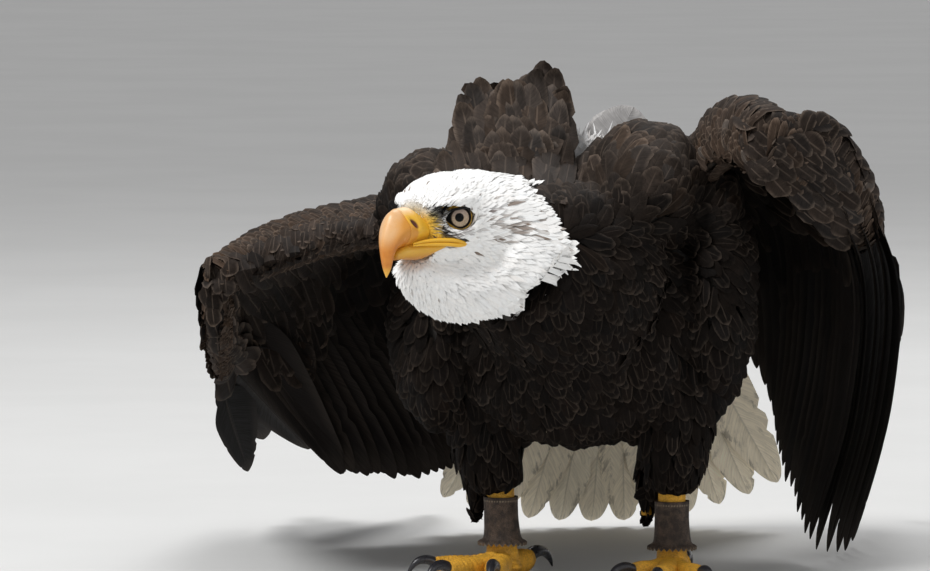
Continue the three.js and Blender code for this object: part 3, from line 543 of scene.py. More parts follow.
LAMPS = {  # the place from the bird's middle and the disk's size in metres, and the power in watts
    "key": ((-1.6, -1.7, 2.6), 1.2, 84),
    "fill": ((2.4, -2.2, 0.8), 2.0, 10),
    "rim": ((0.6, 2.0, 2.4), 1.5, 34),
}
SKY = {"color": (0.9, 0.9, 0.91, 1), "strength": 0.55}
FLOOR_REACH = 60.0
CAMERA = {  # millimetres, degrees, and the near and far ends of what it sees in metres
    "aim": (-66.5, 0, 205), "distance": 5000, "elevation": 4, "lens": 276.5, "sensor": 36,
    "near": 0.1, "far": 50,
}


def point_along(holder, way):
    holder.rotation_euler = Vector(way).to_track_quat("-Z", "Y").to_euler()


def studio():
    low, high = CAD_BOX
    centre = (Vector(low) + Vector(high)) / 2
    floor = bpy.data.meshes.new("floor")
    corners = [(x * FLOOR_REACH, y * FLOOR_REACH, 0) for x, y in ((-1, -1), (1, -1), (1, 1), (-1, 1))]
    floor.from_pydata(corners, [], [(0, 1, 2, 3)])
    n = Nodes("pale_floor")
    mottle = n.noise(n.place(), 3.0, 4.0)
    color = n.mix(n.fade(mottle, 0.3, 0.7), (0.66, 0.66, 0.65), (0.69, 0.69, 0.68))
    floor.materials.append(n.finish(color, 0.7))
    linked("floor", floor)
    world = bpy.data.worlds.new("studio")
    world.use_nodes = True
    background = world.node_tree.nodes["Background"].inputs
    background[0].default_value, background[1].default_value = SKY["color"], SKY["strength"]
    bpy.context.scene.world = world
    for name, (away, size, power) in LAMPS.items():
        light = bpy.data.lights.new(name, "AREA")
        light.shape, light.size, light.energy = "DISK", size, power
        holder = linked(name, light)
        holder.location = centre + Vector(away)
        point_along(holder, centre - holder.location)


def add_camera():
    lens = bpy.data.cameras.new("camera")
    lens.lens, lens.sensor_width = CAMERA["lens"], CAMERA["sensor"]
    lens.clip_start, lens.clip_end = CAMERA["near"], CAMERA["far"]
    tilt = math.radians(CAMERA["elevation"])
    away = np.array([0, -math.cos(tilt), math.sin(tilt)]) * CAMERA["distance"] / MM
    holder = linked("camera", lens)
    holder.location = row(CAMERA["aim"]) + away
    point_along(holder, -away)
    bpy.context.scene.camera = holder


add_camera()
studio()
bpy.context.scene.view_settings.view_transform = "Standard"


# ------------------------------------------------------------------ vanes

def outline(s, peak, blunt):
    """A vane's half width along it, as a share of its widest. blunt is 0 for a pointed tip, 1 for a round."""
    x = np.clip((np.asarray(s) - peak) / (1 - peak), 0, 1)
    tip = (1 - blunt) * (1 - x**1.4) + blunt * np.sqrt(np.maximum(1 - x**2.2, 0))
    return np.maximum((0.3 + 0.7 * smooth(s, 0, peak)) * tip, 0.05)


def through(points, s):
    """Curves through four evenly spaced points each, read at s: (N, 4, 3) gives (N, len(s), 3)."""
    knots = np.array([0, 1 / 3, 2 / 3, 1])
    basis = []
    for i in range(4):
        others = [j for j in range(4) if j != i]
        basis.append(np.prod([(s - knots[j]) / (knots[i] - knots[j]) for j in others], axis=0))
    return np.einsum("ik,nid->nkd", np.array(basis), points)


def vanes(centre, up, stations, left, right, across, tint, droop=0.0, thick=0.25, roll=0.0, shaft=0.0):
    """Closed lens-shaped vanes along the lines `centre` (N, K, 3). Half widths are (N, K) in millimetres."""
    count, rows = centre.shape[:2]
    wide = lambda x: np.broadcast_to(np.asarray(x, float), (count, rows))
    along = unit(np.gradient(centre, axis=1))
    side = unit(np.cross(along, np.broadcast_to(up, centre.shape)))
    up = np.cross(side, along)
    turn = wide(roll)[..., None]
    side, up = side * np.cos(turn) + up * np.sin(turn), up * np.cos(turn) - side * np.sin(turn)
    a = np.asarray(across, float)
    half = np.where(a < 0, wide(left)[..., None], wide(right)[..., None])
    body = wide(thick)[..., None] * (1 - 0.8 * a**2)
    bow = wide(droop)[..., None] * a**2
    ridge = wide(shaft)[..., None] * (np.abs(a) < 0.01)
    flat = centre[:, :, None] + side[:, :, None] * (a * half)[..., None]
    top = flat + up[:, :, None] * (body + ridge - bow)[..., None]
    low = flat - up[:, :, None] * (body + ridge + bow)[..., None]
    ring = np.concatenate([top, low[:, :, -2:0:-1]], axis=2)
    sides = ring.shape[2]
    spread = np.concatenate([a, a[-2:0:-1]])
    vane = np.empty((count, rows, sides, 3))
    vane[..., 0] = spread
    vane[..., 1] = np.asarray(stations)[None, :, None]
    vane[..., 2] = (rng.random(count) * 50)[:, None, None]
    one = grid_faces(rows, sides)[:, ::-1]
    starts = (np.arange(count) * rows * sides)[:, None, None]
    caps = np.stack([np.arange(sides), (rows - 1) * sides + np.arange(sides)[::-1]])
    return {
        "points": ring.reshape(-1, 3),
        "vane": vane.reshape(-1, 3),
        "tint": np.repeat(np.asarray(tint, float), rows * sides, axis=0),
        "root": np.repeat(centre[:, 0], rows * sides, axis=0),
        "faces": [(starts + one).reshape(-1, 4), (starts + caps).reshape(-1, sides)],
    }


RIM = 60  # degrees: a vane's rim is sharper than this, and its two faces are shaded apart


def make_coat(name, batches, material, replaces=()):
    """One piece from batches of vanes, with the attributes that its material reads."""
    offsets = np.cumsum([0] + [len(b["points"]) for b in batches])
    faces = [f + start for b, start in zip(batches, offsets) for f in b["faces"]]
    keys = ("points", "vane", "tint", "root")
    points, vane, tint, root = (np.concatenate([b[key] for b in batches]) for key in keys)
    piece = new_mesh(name, points, faces, material, replaces)
    piece.data.set_sharp_from_angle(angle=math.radians(RIM))
    set_attribute(piece.data, "vane", "FLOAT_VECTOR", vane)
    set_tint(piece, tint)
    patch_uv(piece.data, root, vane)


PATCH = 0.003  # a feather's width and length on the skin's unwrap


def patch_uv(data, roots, vane):
    """OFBake: each vane is a small patch at its root's place on the skin's own unwrap."""
    starts = np.flatnonzero(np.r_[True, np.any(np.diff(roots, axis=0) != 0, axis=1)])
    places = np.array([skin_uv(p) for p in roots[starts]])
    owner = np.repeat(np.arange(len(starts)), np.diff(np.r_[starts, len(roots)]))
    uv = places[owner] + (vane[:, :2] * [0.5, 1] - [0, 0.5]) * PATCH
    layer = data.uv_layers.new(name="OFBake")
    corners = np.empty(len(data.loops), np.int32)
    data.loops.foreach_get("vertex_index", corners)
    layer.data.foreach_set("uv", uv[corners].astype(np.float32).ravel())


# ------------------------------------------------------------------ roots and the lie of the coat

TRIES = 5.0  # places tried for each one that a surface could hold


def scatter(points, quads, spacing):
    """Random places on a surface, no two nearer than spacing(places) says."""
    corners = np.array([q if len(q) == 4 else (*q, q[-1]) for q in quads])
    a, b, c, d = (points[corners[:, k]] for k in range(4))
    area = 0.5 * np.linalg.norm(np.cross(c - a, d - b), axis=1)
    gap = spacing((a + b + c + d) / 4)
    weight = np.where(gap > 0, area / np.maximum(gap, 0.1) ** 2, 0)
    pick = rng.choice(len(quads), int(weight.sum() * TRIES), p=weight / weight.sum())
    s, t = rng.random((2, len(pick), 1))
    places = (a[pick] * (1 - s) + b[pick] * s) * (1 - t) + (d[pick] * (1 - s) + c[pick] * s) * t
    cell = gap[gap > 0].max()
    grid, kept = {}, []
    for p, r in zip(places, gap[pick]):
        key = tuple((p // cell).astype(int))
        near = [
            q for x in (-1, 0, 1) for y in (-1, 0, 1) for z in (-1, 0, 1)
            for q in grid.get((key[0] + x, key[1] + y, key[2] + z), ())
        ]
        if all((p[0] - q[0]) ** 2 + (p[1] - q[1]) ** 2 + (p[2] - q[2]) ** 2 >= r * r for q in near):
            grid.setdefault(key, []).append(p)
            kept.append(p)
    return np.array(kept)


def lay(surface, roots, lies, lengths, sink, lift, cling, sway):
    """Four points and four ups for each feather, which runs over the surface from its root along its lie."""
    lines, ups = np.empty((len(roots), 4, 3)), np.empty((len(roots), 4, 3))
    swing = rng.normal(0, sway, len(roots))
    free = np.broadcast_to(cling, len(roots))
    sinks, lifts = np.broadcast_to(sink, len(roots)), np.broadcast_to(lift, len(roots))
    for i, (root, lie) in enumerate(zip(roots, lies)):
        here, n, _ = surface.near(root)
        way = lie - n * (lie @ n)
        way = way / (np.linalg.norm(way) + 1e-9)
        way = way + np.cross(n, way) * swing[i]
        lines[i, 0], ups[i, 0] = here - n * sinks[i], n
        for k in (1, 2, 3):
            ahead = here + way * (lengths[i] / 3)
            near, m, _ = surface.near(ahead)
            here = near * free[i] + ahead * (1 - free[i])
            n = m * free[i] + n * (1 - free[i])
            n = n / np.linalg.norm(n)
            way = way - n * (way @ n)
            way = way / (np.linalg.norm(way) + 1e-9)
            height = -sinks[i] + (sinks[i] + lifts[i]) * (k / 3) ** 0.7
            lines[i, k], ups[i, k] = here + n * height, n
    return lines, ups


LONG = np.array([0, 0.2, 0.42, 0.62, 0.78, 0.89, 0.96, 1.0])
SMALL = np.array([0, 0.35, 0.66, 0.88, 1.0])
FIVE = [-1, -0.5, 0, 0.5, 1]
THREE = [-1, 0, 1]


def body_vanes(
    surface, roots, lies, lengths, widths, tint, sink, lift, cling=1.0, sway=0.12, stations=LONG, across=FIVE,
    peak=0.55, blunt=0.6, bow=0.22, thick=0.22, roll=0.1, fray=0.05,
):
    """A batch of contour feathers on a surface."""
    lines, ups = lay(surface, roots, lies, lengths, sink, lift, cling, sway)
    half = widths[:, None] * outline(stations, peak, blunt)
    half = half * (1 + rng.normal(0, fray, half.shape))
    return vanes(
        through(lines, stations), through(ups, stations), stations, half, half, across, tint,
        droop=half * bow, thick=thick, roll=rng.normal(0, roll, (len(roots), 1)),
    )


def tinted(count, color, vary, edge, edge_vary=0.1, hue=0.05):
    """Per-feather colours about a mean, with the paleness of each one's edge."""
    shade = varied(vary, (count, 1))
    warm = rng.normal(0, hue, (count, 1)) * [1, 0, -1]
    pale = np.clip(np.broadcast_to(edge, count) + rng.normal(0, edge_vary, count), 0, 1)
    return np.concatenate([np.broadcast_to(color, (count, 3)) * shade * (1 + warm), pale[:, None]], axis=1)


def plain(count, color, vary, hue=0.01):
    """Per-feather colours without a pale edge."""
    return tinted(count, color, vary, edge=0.0, edge_vary=0.0, hue=hue)


REAR = np.array([0.21, 0.956, 0.203])
DOWN = np.array([0.0, 0, -1])
DOWN_NECK, OVER_RUMP = np.array([0.35, 0.35, -0.9]), np.array([0.05, 0.6, -0.8])
BILL_BASE = face(34, 0, -4)
MIDLINE = 5.0


def body_lie(p, n):
    """Back along the body and down its sides; from the neck up over the shoulders and the raised mantle."""
    lie = REAR + DOWN * (0.6 + 0.9 * np.maximum(0, -n[:, 1:2]))
    out = np.tanh((p[:, 0] - MIDLINE) / 40)
    front = smooth(-p[:, 1], -60, -10)
    aside, over = (
        np.column_stack([share * out, np.tile([rear, up], (len(p), 1))])
        for share, rear, up in ((1, 0.3, -0.15), (0.5, 0.45, 0.75))
    )
    lie = blend(lie, aside, smooth(p[:, 2], 205, 238) * front)
    lie = blend(lie, over, smooth(p[:, 2], 238, 262) * front)
    lie = blend(lie, DOWN_NECK, smooth(-p[:, 1], 70, 110) * smooth(-p[:, 2], -262, -236))
    return blend(lie, OVER_RUMP, smooth(p[:, 1], 150, 190))


def head_lie(p):
    return unit(p - BILL_BASE)


# ------------------------------------------------------------------ legs and lids

EYE_RADIUS = 12.0
IRIS, PUPIL = 6.3, 2.95
IRIS_SHIFT, PUPIL_SHIFT = (0.5, 0.0), (1.6, 0.4)
LID = {"wide": 7.0, "corner": 2.6, "low": 7.0, "top": 5.5, "slant": 0.1, "rim": 0.95}
GAZE = math.radians(34)  # forward from straight out of the side


def gaze(side):
    """The eye's frame: outward along its axis, forward across it, and up."""
    axis = unit(face(math.sin(GAZE), side * math.cos(GAZE), 0) - face(0, 0, 0))
    ahead = unit(np.cross(axis, HEAD_UP)) * side
    return axis, ahead, unit(np.cross(ahead, axis)) * side


def tube(points, radii, rings, sides, relief=None, flat=(0.0, 0.02, 1)):
    """A closed round tube through the points; relief(t, angle) swells it. Returns points and faces."""
    t = np.linspace(0, 1, rings)
    knots = np.linspace(0, 1, len(points))
    line = spline(knots, np.asarray(points, float), t)
    radius = np.maximum(spline(knots, np.asarray(radii, float), t), 0.2)
    along = unit(np.gradient(line, axis=0))
    side = unit(np.cross(along, flat))
    up = np.cross(side, along)
    angle = np.linspace(0, 2 * np.pi, sides, endpoint=False)
    r = radius[:, None] * (1 + (relief(t[:, None], angle[None]) if relief else 0 * angle[None]))
    way = side[:, None] * np.cos(angle)[:, None] + up[:, None] * np.sin(angle)[:, None]
    ring = line[:, None] + way * r[..., None]
    ends = np.stack([line[0] - along[0] * radius[0] * 0.3, line[-1] + along[-1] * radius[-1] * 0.5])
    return np.concatenate([ring.reshape(-1, 3), ends]), capped_faces(rings, sides, -1)


LEGS = {
    "right": {"heel": (-42, 8, 60), "foot": (-40, 6, 0), "yaw": -38},
    "left": {"heel": (78, -22, 62), "foot": (78, -26, 0), "yaw": -10},
}
ANKLE, TARSUS_TOP, TARSUS_RADIUS = 15, 70, 8.6
ANKLET = {"low": 22, "high": 56, "inner": 9.4, "outer": 12.2, "rim": 17}
TOES = [
    {"name": "inner", "angle": -30, "length": 44, "radius": 7.4, "claw": 30, "claw_radius": 4.9},
    {"name": "middle", "angle": 0, "length": 62, "radius": 7.4, "claw": 27, "claw_radius": 4.5},
    {"name": "outer", "angle": 32, "length": 50, "radius": 6.6, "claw": 23, "claw_radius": 4.0},
    {"name": "hind", "angle": 176, "length": 32, "radius": 7.6, "claw": 33, "claw_radius": 5.3},
]


def toe_point(side, toe, reach, height):
    heading = math.radians(LEGS[side]["yaw"] + (1 if side == "left" else -1) * toe["angle"])
    return np.array(LEGS[side]["foot"]) + [math.sin(heading) * reach, -math.cos(heading) * reach, height]


def leg_axis(side, z):
    foot, heel = np.array(LEGS[side]["foot"], float), np.array(LEGS[side]["heel"], float)
    p = foot + (heel - foot) * (z - ANKLE) / (TARSUS_TOP - ANKLE)
    return np.array([p[0], p[1], z])


def scutes(count, height):
    """Overlapping plates across the upper side, and small pads below."""
    def relief(t, angle):
        top = smooth(np.sin(angle), 0.1, 0.8)
        plate = 1 - ((t * count) % 1) ** 1.6
        pad = np.maximum(0, -np.sin(angle)) * np.abs(np.sin(t * count * 0.45 * np.pi))
        grain = 0.02 * np.sin(angle * 9 + t * count * 5)
        return height * top * (plate - 0.5) + 0.1 * pad * (1 - top) + grain * (1 - top)
    return relief


def bare_legs():
    parts = []
    for side in LEGS:
        for toe in TOES:
            r, long = toe["radius"], toe["length"]
            reaches = [(-2, 11), (long * 0.4, 8.7), (long * 0.78, 8.6), (long + 1, 10)]
            points = [toe_point(side, toe, *at) for at in reaches]
            radii = [r + 2, r + 0.3, r + 0.6, r * 0.8]
            parts.append(tube(points, radii, 120, 30, scutes(count=12, height=0.11)))
        foot = np.array(LEGS[side]["foot"], float)
        tops = [foot + [0, 0, 6], foot + [0, 0, ANKLE], leg_axis(side, 40), leg_axis(side, TARSUS_TOP + 20)]
        radii = [13, 11, TARSUS_RADIUS + 0.6, TARSUS_RADIUS + 2]
        parts.append(tube(tops, radii, 90, 30, scutes(count=14, height=0.07)))
    return parts


def lid_edge(turn):
    """The eye's opening: round below, cut off above by the brow, drawn out in front."""
    c, s = np.cos(turn), np.sin(turn)
    x = (LID["wide"] + LID["corner"] * np.maximum(0, c) ** 5) * c
    top = np.minimum(LID["low"] * s, LID["top"] - LID["slant"] * x)
    return x, np.where(s > 0, top, LID["low"] * s)


def lid_ring(side, eye):
    """The fleshy rim round the eye, a folded ring: points, faces, and each point's turn in fold and ring."""
    axis, ahead, up = gaze(side)
    around, fold = 96, 20
    turn = np.linspace(0, 2 * np.pi, around, endpoint=False)
    x, y = lid_edge(turn)
    reach = np.hypot(x, y)
    share = np.linspace(0, 2 * np.pi, fold, endpoint=False)
    width = LID["rim"] + 0.7 * smooth(np.sin(turn), 0.1, 0.8)
    out = 1 + (width[:, None] * (1 - np.cos(share[None]))) / reach[:, None]
    px, py = x[:, None] * out, y[:, None] * out
    lift = 0.25 + 0.75 * np.sin(share[None]) - 0.9 * smooth(out, 1.0, 1.35)
    height = np.sqrt(np.maximum(EYE_RADIUS**2 - px**2 - py**2, 9.0)) + lift
    points = eye + ahead * px[..., None] + up * py[..., None] + axis * height[..., None]
    faces = grid_faces(around + 1, fold)[:, ::-side] % (around * fold)
    faces = [tuple(f) for f in faces.tolist()]
    return points.reshape(-1, 3), faces, np.tile(share, around), np.repeat(turn, fold)


def refined(points, faces, chosen):
    """Splits the chosen faces into four, with the same points along shared edges."""
    data = bpy.data.meshes.new("scratch")
    data.from_pydata(points.tolist(), [], faces)
    shape = bmesh.new()
    shape.from_mesh(data)
    picked = [f for f in shape.faces if chosen(np.array(f.calc_center_median()))]
    edges = list({e for f in picked for e in f.edges})
    bmesh.ops.subdivide_edges(shape, edges=edges, cuts=1, use_grid_fill=True)
    shape.to_mesh(data)
    shape.free()
    points = np.array([v.co for v in data.vertices])
    faces = [tuple(p.vertices) for p in data.polygons]
    bpy.data.meshes.remove(data)
    return points, faces


# ------------------------------------------------------------------ bill

MOUTH = -16.5
CERE = [(20, 4.5, 20, MOUTH, 12.8), (29, 9.4, 28, MOUTH, 13), (39.5, 9.8, 39, MOUTH - 0.2, 11.8)]
UPPER_BILL = [
    (39.9, 9.7, 39.4, MOUTH - 0.2, 11.6), (46.9, 7.2, 43.5, MOUTH - 0.6, 10.2),
    (52.0, -0.5, 46.5, MOUTH - 2.2, 8.2), (55.6, -10, 48, MOUTH - 4.8, 6.2), (56.4, -20, 49, MOUTH - 9, 4.6),
    (55.4, -28, 50.6, MOUTH - 13.4, 3.2), (53.8, -34.6, 53.2, -34.5, 0.6),
]
LOWER_BILL = [
    (9, MOUTH + 0.8, 11, MOUTH - 4.5, 18.6), (25, MOUTH + 2.6, 25, -26.0, 13.6),
    (38, MOUTH + 1.4, 38, -24.4, 9.2), (46, MOUTH - 2.4, 46, -24.2, 4.8),
]


def bill_loft(rows, rings, sides, pinch, relief=None, full=1.0):
    """Sections from rows of (forward, up, forward, up, half width): a top point, a bottom point and the width
    between them, narrowed towards the top. relief(t, angle) is in millimetres."""
    rows = np.asarray(rows, float)
    t = np.linspace(0, 1, rings)
    at = spline(np.linspace(0, 1, len(rows)), rows, t)
    top, low, wide = at[:, 0:2], at[:, 2:4], at[:, 4]
    angle = np.linspace(0, 2 * np.pi, sides, endpoint=False)
    high = np.sin(angle)
    core, half = (top + low) / 2, (top - low) / 2
    push = relief(t[:, None], angle[None]) if relief else np.zeros((rings, sides))
    across, out = np.sign(np.cos(angle)), np.abs(np.cos(angle))
    side = wide[:, None] * (across * out**full) * (1 - pinch * np.maximum(0, high))
    side = side + push * across * out
    place = core[:, None] + half[:, None] * (high + 0 * push)[..., None]
    ring = face(place[..., 0], side, place[..., 1])
    ends = np.stack([face(core[0, 0] - 0.2, 0, core[0, 1]), face(core[-1, 0], 0, core[-1, 1] - 0.5)])
    return np.concatenate([ring.reshape(-1, 3), ends]), capped_faces(rings, sides)


NOSTRIL = {"along": 0.76, "angle": 0.2, "long": 0.13, "wide": 0.27, "deep": 3.4}


def nostrils(t, angle):
    """The share of a nostril's slanting hollow, and of the swelling round it, at each place of the cere."""
    hole, swell = 0.0, 0.0
    for centre, way in ((NOSTRIL["angle"], 1), (np.pi - NOSTRIL["angle"], -1)):
        across = np.angle(np.exp(1j * (angle - centre))) * way
        slant = (t - NOSTRIL["along"]) - 0.3 * across
        hole = hole + np.exp(-((slant / NOSTRIL["long"]) ** 2) * 1.6 - (across / NOSTRIL["wide"]) ** 2)
        swell = swell + np.exp(-((slant / 0.3) ** 2) - (across / 0.5) ** 2)
    return hole, swell


def cere_relief(t, angle):
    hole, swell = nostrils(t, angle)
    return 0.7 * swell - NOSTRIL["deep"] * hole


LIPS = [  # forward, side, up from the mouth's line, half the gap, and radius
    (37, 11.4, 2.1, 0.6, 0.5), (30, 13.0, 2.3, 0.95, 0.95), (20, 16.9, 2.0, 1.3, 1.25),
    (10, 21.6, 0.9, 1.5, 1.4), (3, 24.0, -0.5, 1.35, 1.4), (-2.9, 24.7, -1.7, 0, 1.3),
]


def gape(side):
    """The fleshy edge of the mouth: back along the upper jaw, round its corner and on along the lower."""
    loop = [(f, s, u + gap, r) for f, s, u, gap, r in LIPS]
    loop += [(f, s, u - gap, r) for f, s, u, gap, r in LIPS[-2::-1]]
    points = [face(f, side * s, MOUTH + u) for f, s, u, _ in loop]
    return tube(points, [r for *_, r in loop], 130, 20, flat=face(0, side, 0) - face(0, 0, 0))


# ------------------------------------------------------------------ eyes

BALL = {"rings": 60, "sides": 64, "crowded": 1.25}
CORNEA = {"rise": 0.55, "full": 3.5, "end": 8.2, "sunk": 0.35}


def eyeball(side):
    """A ball with a bulge in front. Each point has its distances from the iris's and the pupil's middles, and
    its turn round the pupil's."""
    eye = eye_centre(side)
    axis, ahead, up = gaze(side)
    rings, sides = BALL["rings"], BALL["sides"]
    polar = np.pi * (np.arange(rings) + 0.5) ** BALL["crowded"] / rings ** BALL["crowded"]
    turn = np.linspace(0, 2 * np.pi, sides, endpoint=False)
    off = EYE_RADIUS * np.sin(polar)
    bulge = CORNEA["rise"] * (1 - smooth(np.where(polar < 1.5, off, 99), CORNEA["full"], CORNEA["end"]))
    radius = EYE_RADIUS - CORNEA["sunk"] + bulge
    out, off_axis = (radius * np.cos(polar))[:, None, None], (radius * np.sin(polar))[:, None, None]
    ring = eye + axis * out + (ahead * np.cos(turn)[:, None] + up * np.sin(turn)[:, None]) * off_axis
    poles = np.stack([eye + axis * radius[0], eye - axis * radius[-1]])
    points = np.concatenate([ring.reshape(-1, 3), poles])
    x, y, front = ((points - eye) @ way for way in (ahead, up, axis))
    iris = np.zeros((len(points), 3))
    for k, (right, high) in enumerate((IRIS_SHIFT, PUPIL_SHIFT)):
        iris[:, k] = np.where(front > 0, np.hypot(x - right, y - high), 20)
    iris[:, 2] = np.arctan2(y - PUPIL_SHIFT[1], x - PUPIL_SHIFT[0])
    return points, capped_faces(rings, sides, side), iris


# ------------------------------------------------------------------ materials of the bare parts

def skin_material():
    """Scaly yellow toes and lores, grey-brown under the plumage, from each point's own tint."""
    n = Nodes("bare_skin")
    tint = n.attribute("tint")
    place = n.place()
    grain = n.cells(place, 620.0, 0.12)
    stain = n.noise(place, 90.0, 4.0)
    shade = n.math("MULTIPLY", n.fade(grain, 0.0, 1.0, 0.72, 1.0), n.fade(stain, 0.25, 0.75, 0.7, 1.2))
    color = n.shaded(tint.outputs["Color"], shade)
    color = n.mix(n.fade(n.noise(place, 35.0, 3.0), 0.58, 0.75, 0.0, 0.5), color, (0.16, 0.1, 0.05))
    return n.finish(color, n.fade(stain, 0.2, 0.8, 0.5, 0.7), grain, 0.0004, 0.6, Specular_IOR_Level=0.45)


def horn_material(name, colors, spots, rough, ridge):
    """Smooth horn in each point's own tint, with faint mottling and a fine uneven surface."""
    n = Nodes(name)
    place = n.place()
    tint = n.attribute("tint")
    fleck = n.noise(place, spots, 5.0, 0.7)
    fine = n.noise(place, 900.0, 3.0)
    color = n.mix(n.fade(fleck, 0.45, 0.8, 0.0, 0.6), tint.outputs["Color"], colors[0])
    color = n.mix(n.fade(n.noise(place, spots * 2.4, 4.0), 0.6, 0.78, 0.0, 0.55), color, colors[1])
    color = n.mix(n.fade(fine, 0.5, 0.8, 0.0, 0.12), color, (0.25, 0.16, 0.08))
    height = n.math("MULTIPLY_ADD", fine, 0.35, fleck)
    return n.finish(color, n.fade(fleck, 0.3, 0.7, rough, rough + 0.14), height, 0.0003, ridge,
                    Specular_IOR_Level=0.55)


def eye_material():
    n = Nodes("eye")
    off, inner, turn = n.split(n.attribute("iris").outputs["Vector"])
    ray = [n.math("MULTIPLY", n.math(wave, turn), 9.0) for wave in ("COSINE", "SINE")]
    spokes = n.noise(n.join(*ray, n.math("MULTIPLY", inner, 0.35)), 1.6, 4.0, 0.7)
    iris = n.mix(n.fade(spokes, 0.3, 0.72), (0.26, 0.18, 0.11), (0.56, 0.44, 0.32))
    # Painted shade: the iris's upper part is mixed toward grey, the shadow of the brow over it.
    iris = n.mix(n.fade(ray[1], -4.0, 8.0, 0.0, 0.5), iris, (0.27, 0.22, 0.22))
    iris = n.mix(n.fade(inner, PUPIL + 0.7, PUPIL, 0.0, 0.35), iris, (0.14, 0.09, 0.05))
    iris = n.mix(n.fade(off, IRIS - 0.6, IRIS - 0.05), iris, (0.03, 0.022, 0.016))
    color = n.mix(n.fade(inner, PUPIL + 0.12, PUPIL - 0.08), iris, (0.001, 0.001, 0.001))
    color = n.mix(n.fade(off, IRIS, IRIS + 0.5), color, (0.002, 0.002, 0.002))
    n.shader.inputs["Coat Weight"].default_value = 0.22
    n.shader.inputs["Coat Roughness"].default_value = 0.02
    return n.finish(color, n.fade(spokes, 0.2, 0.8, 0.4, 0.5), spokes, 0.0001, 0.15, Specular_IOR_Level=0.04)


def leather_material():
    n = Nodes("anklet_leather")
    place = n.place()
    pebble = n.cells(place, 1100.0, 0.25)
    worn = n.noise(place, 160.0, 5.0, 0.7)
    color = n.mix(n.fade(worn, 0.35, 0.7), (0.03, 0.02, 0.014), (0.115, 0.075, 0.05))
    color = n.mix(n.fade(pebble, 0.5, 0.0, 0.0, 0.6), color, (0.012, 0.008, 0.006))
    tint = n.attribute("tint")
    color = n.mix(tint.outputs["Alpha"], color, tint.outputs["Color"])
    height = n.math("MULTIPLY_ADD", worn, 0.6, pebble)
    return n.finish(color, n.fade(worn, 0.3, 0.75, 0.62, 0.45), height, 0.0004, 0.7, Specular_IOR_Level=0.4)


SKIN = skin_material()
BILL = horn_material("bill", [(0.72, 0.32, 0.05), (0.76, 0.42, 0.16)], spots=70.0, rough=0.3, ridge=0.12)
CERE_SKIN = horn_material(
    "cere", [(0.80, 0.40, 0.03), (0.72, 0.42, 0.10)], spots=120.0, rough=0.42, ridge=0.35)
CLAW = horn_material("claw", [(0.014, 0.014, 0.017), (0.07, 0.07, 0.08)], spots=90.0, rough=0.22, ridge=0.15)
EYE_GLOSS = eye_material()
LEATHER = leather_material()


# ------------------------------------------------------------------ skin

def brow_edge(f):
    """The height of the feathered brow's lower edge over the eye and the lores."""
    return np.interp(f, [-17.7, -6, -0.5, 5.6, 10, 15.6], [5.2, 8.4, 9.2, 8.8, 8.5, 8.4])


def bare_edge(u):
    """How far forward the cheek's feathers reach at each height between the brow and the mouth."""
    return np.interp(u, [-16.5, -14.3, -11.3, -7.3, -2, 5.4], [-3, 1.9, 10.2, 13.6, 15.3, 17.5])


# dark is near-black skin painted in front of the eye under the brow: a painted shadow of the brow's overhang.
SKIN_TINTS = {
    "brown": (0.020, 0.016, 0.013), "under_white": (0.80, 0.79, 0.77), "lores": (0.34, 0.30, 0.16),
    "yellow": (0.82, 0.50, 0.045), "dark": (0.012, 0.010, 0.011), "brow": (0.90, 0.56, 0.045),
    "legs": (0.78, 0.40, 0.035), "lid": (0.012, 0.010, 0.010), "lid_gold": (0.80, 0.46, 0.03),
}


def tinge(tint, color, share):
    """Mixes an opaque colour into the tints."""
    return blend(tint, np.array([*color, 1.0]), share)


def skin_tint(p, lids):
    """Grey-brown under feathers; yellow lores, painted near-black under the brow in front of the eye as the
    brow's shadow; dark lids with a gold rim; orange-yellow legs and toes.
    """
    f, s, u = in_head(p)
    head = smooth(-np.linalg.norm(p - HEAD["centre"], axis=1), -75, -55)
    ahead = f - bare_edge(u)
    lores = smooth(ahead, -7, 1) * smooth(-u, -brow_edge(0), -4) * smooth(u, -19, -16) * head
    yellow = smooth(ahead + 0.5 * np.minimum(0, -u), -2, 5) * smooth(-u, -7, 0) * smooth(u, -19, -17) * head
    # Painted shadow of the brow: near-black skin in front of the eye, just under the brow's overhang.
    dark = spot(f, u, (9, 5.3), (7, 3.0)) * head * (np.abs(s) > 8)
    brow = spot(f, u, (1.5, 8.2), (6, 1.6)) * head
    shares = {
        "under_white": head, "lores": lores, "yellow": yellow, "dark": np.clip(dark * 2.2, 0, 1),
        "brow": np.clip(brow * 2.2, 0, 1), "legs": smooth(-p[:, 2], -76, -66) * (1 - head),
    }
    tint = np.tile([*SKIN_TINTS["brown"], 1.0], (len(p), 1))
    for key, share in shares.items():
        tint = tinge(tint, SKIN_TINTS[key], share)
    for (fold, turn), span in lids:
        back = -np.cos(fold)
        gold = smooth(back, -0.75, 0.1) * smooth(np.sin(turn), 0.55, 0.15)
        strip = smooth(back, 0.0, 0.3) * smooth(np.sin(turn), 0.45, 0.7) * smooth(np.cos(turn), -0.5, -0.2)
        lid = np.array([*SKIN_TINTS["lid"], 1.0])
        tint[span] = tinge(lid, SKIN_TINTS["lid_gold"], np.maximum(gold, strip))
    return tint


FACE_REACH = 52  # the skin within this of the head's middle is finer and follows the head's own surface


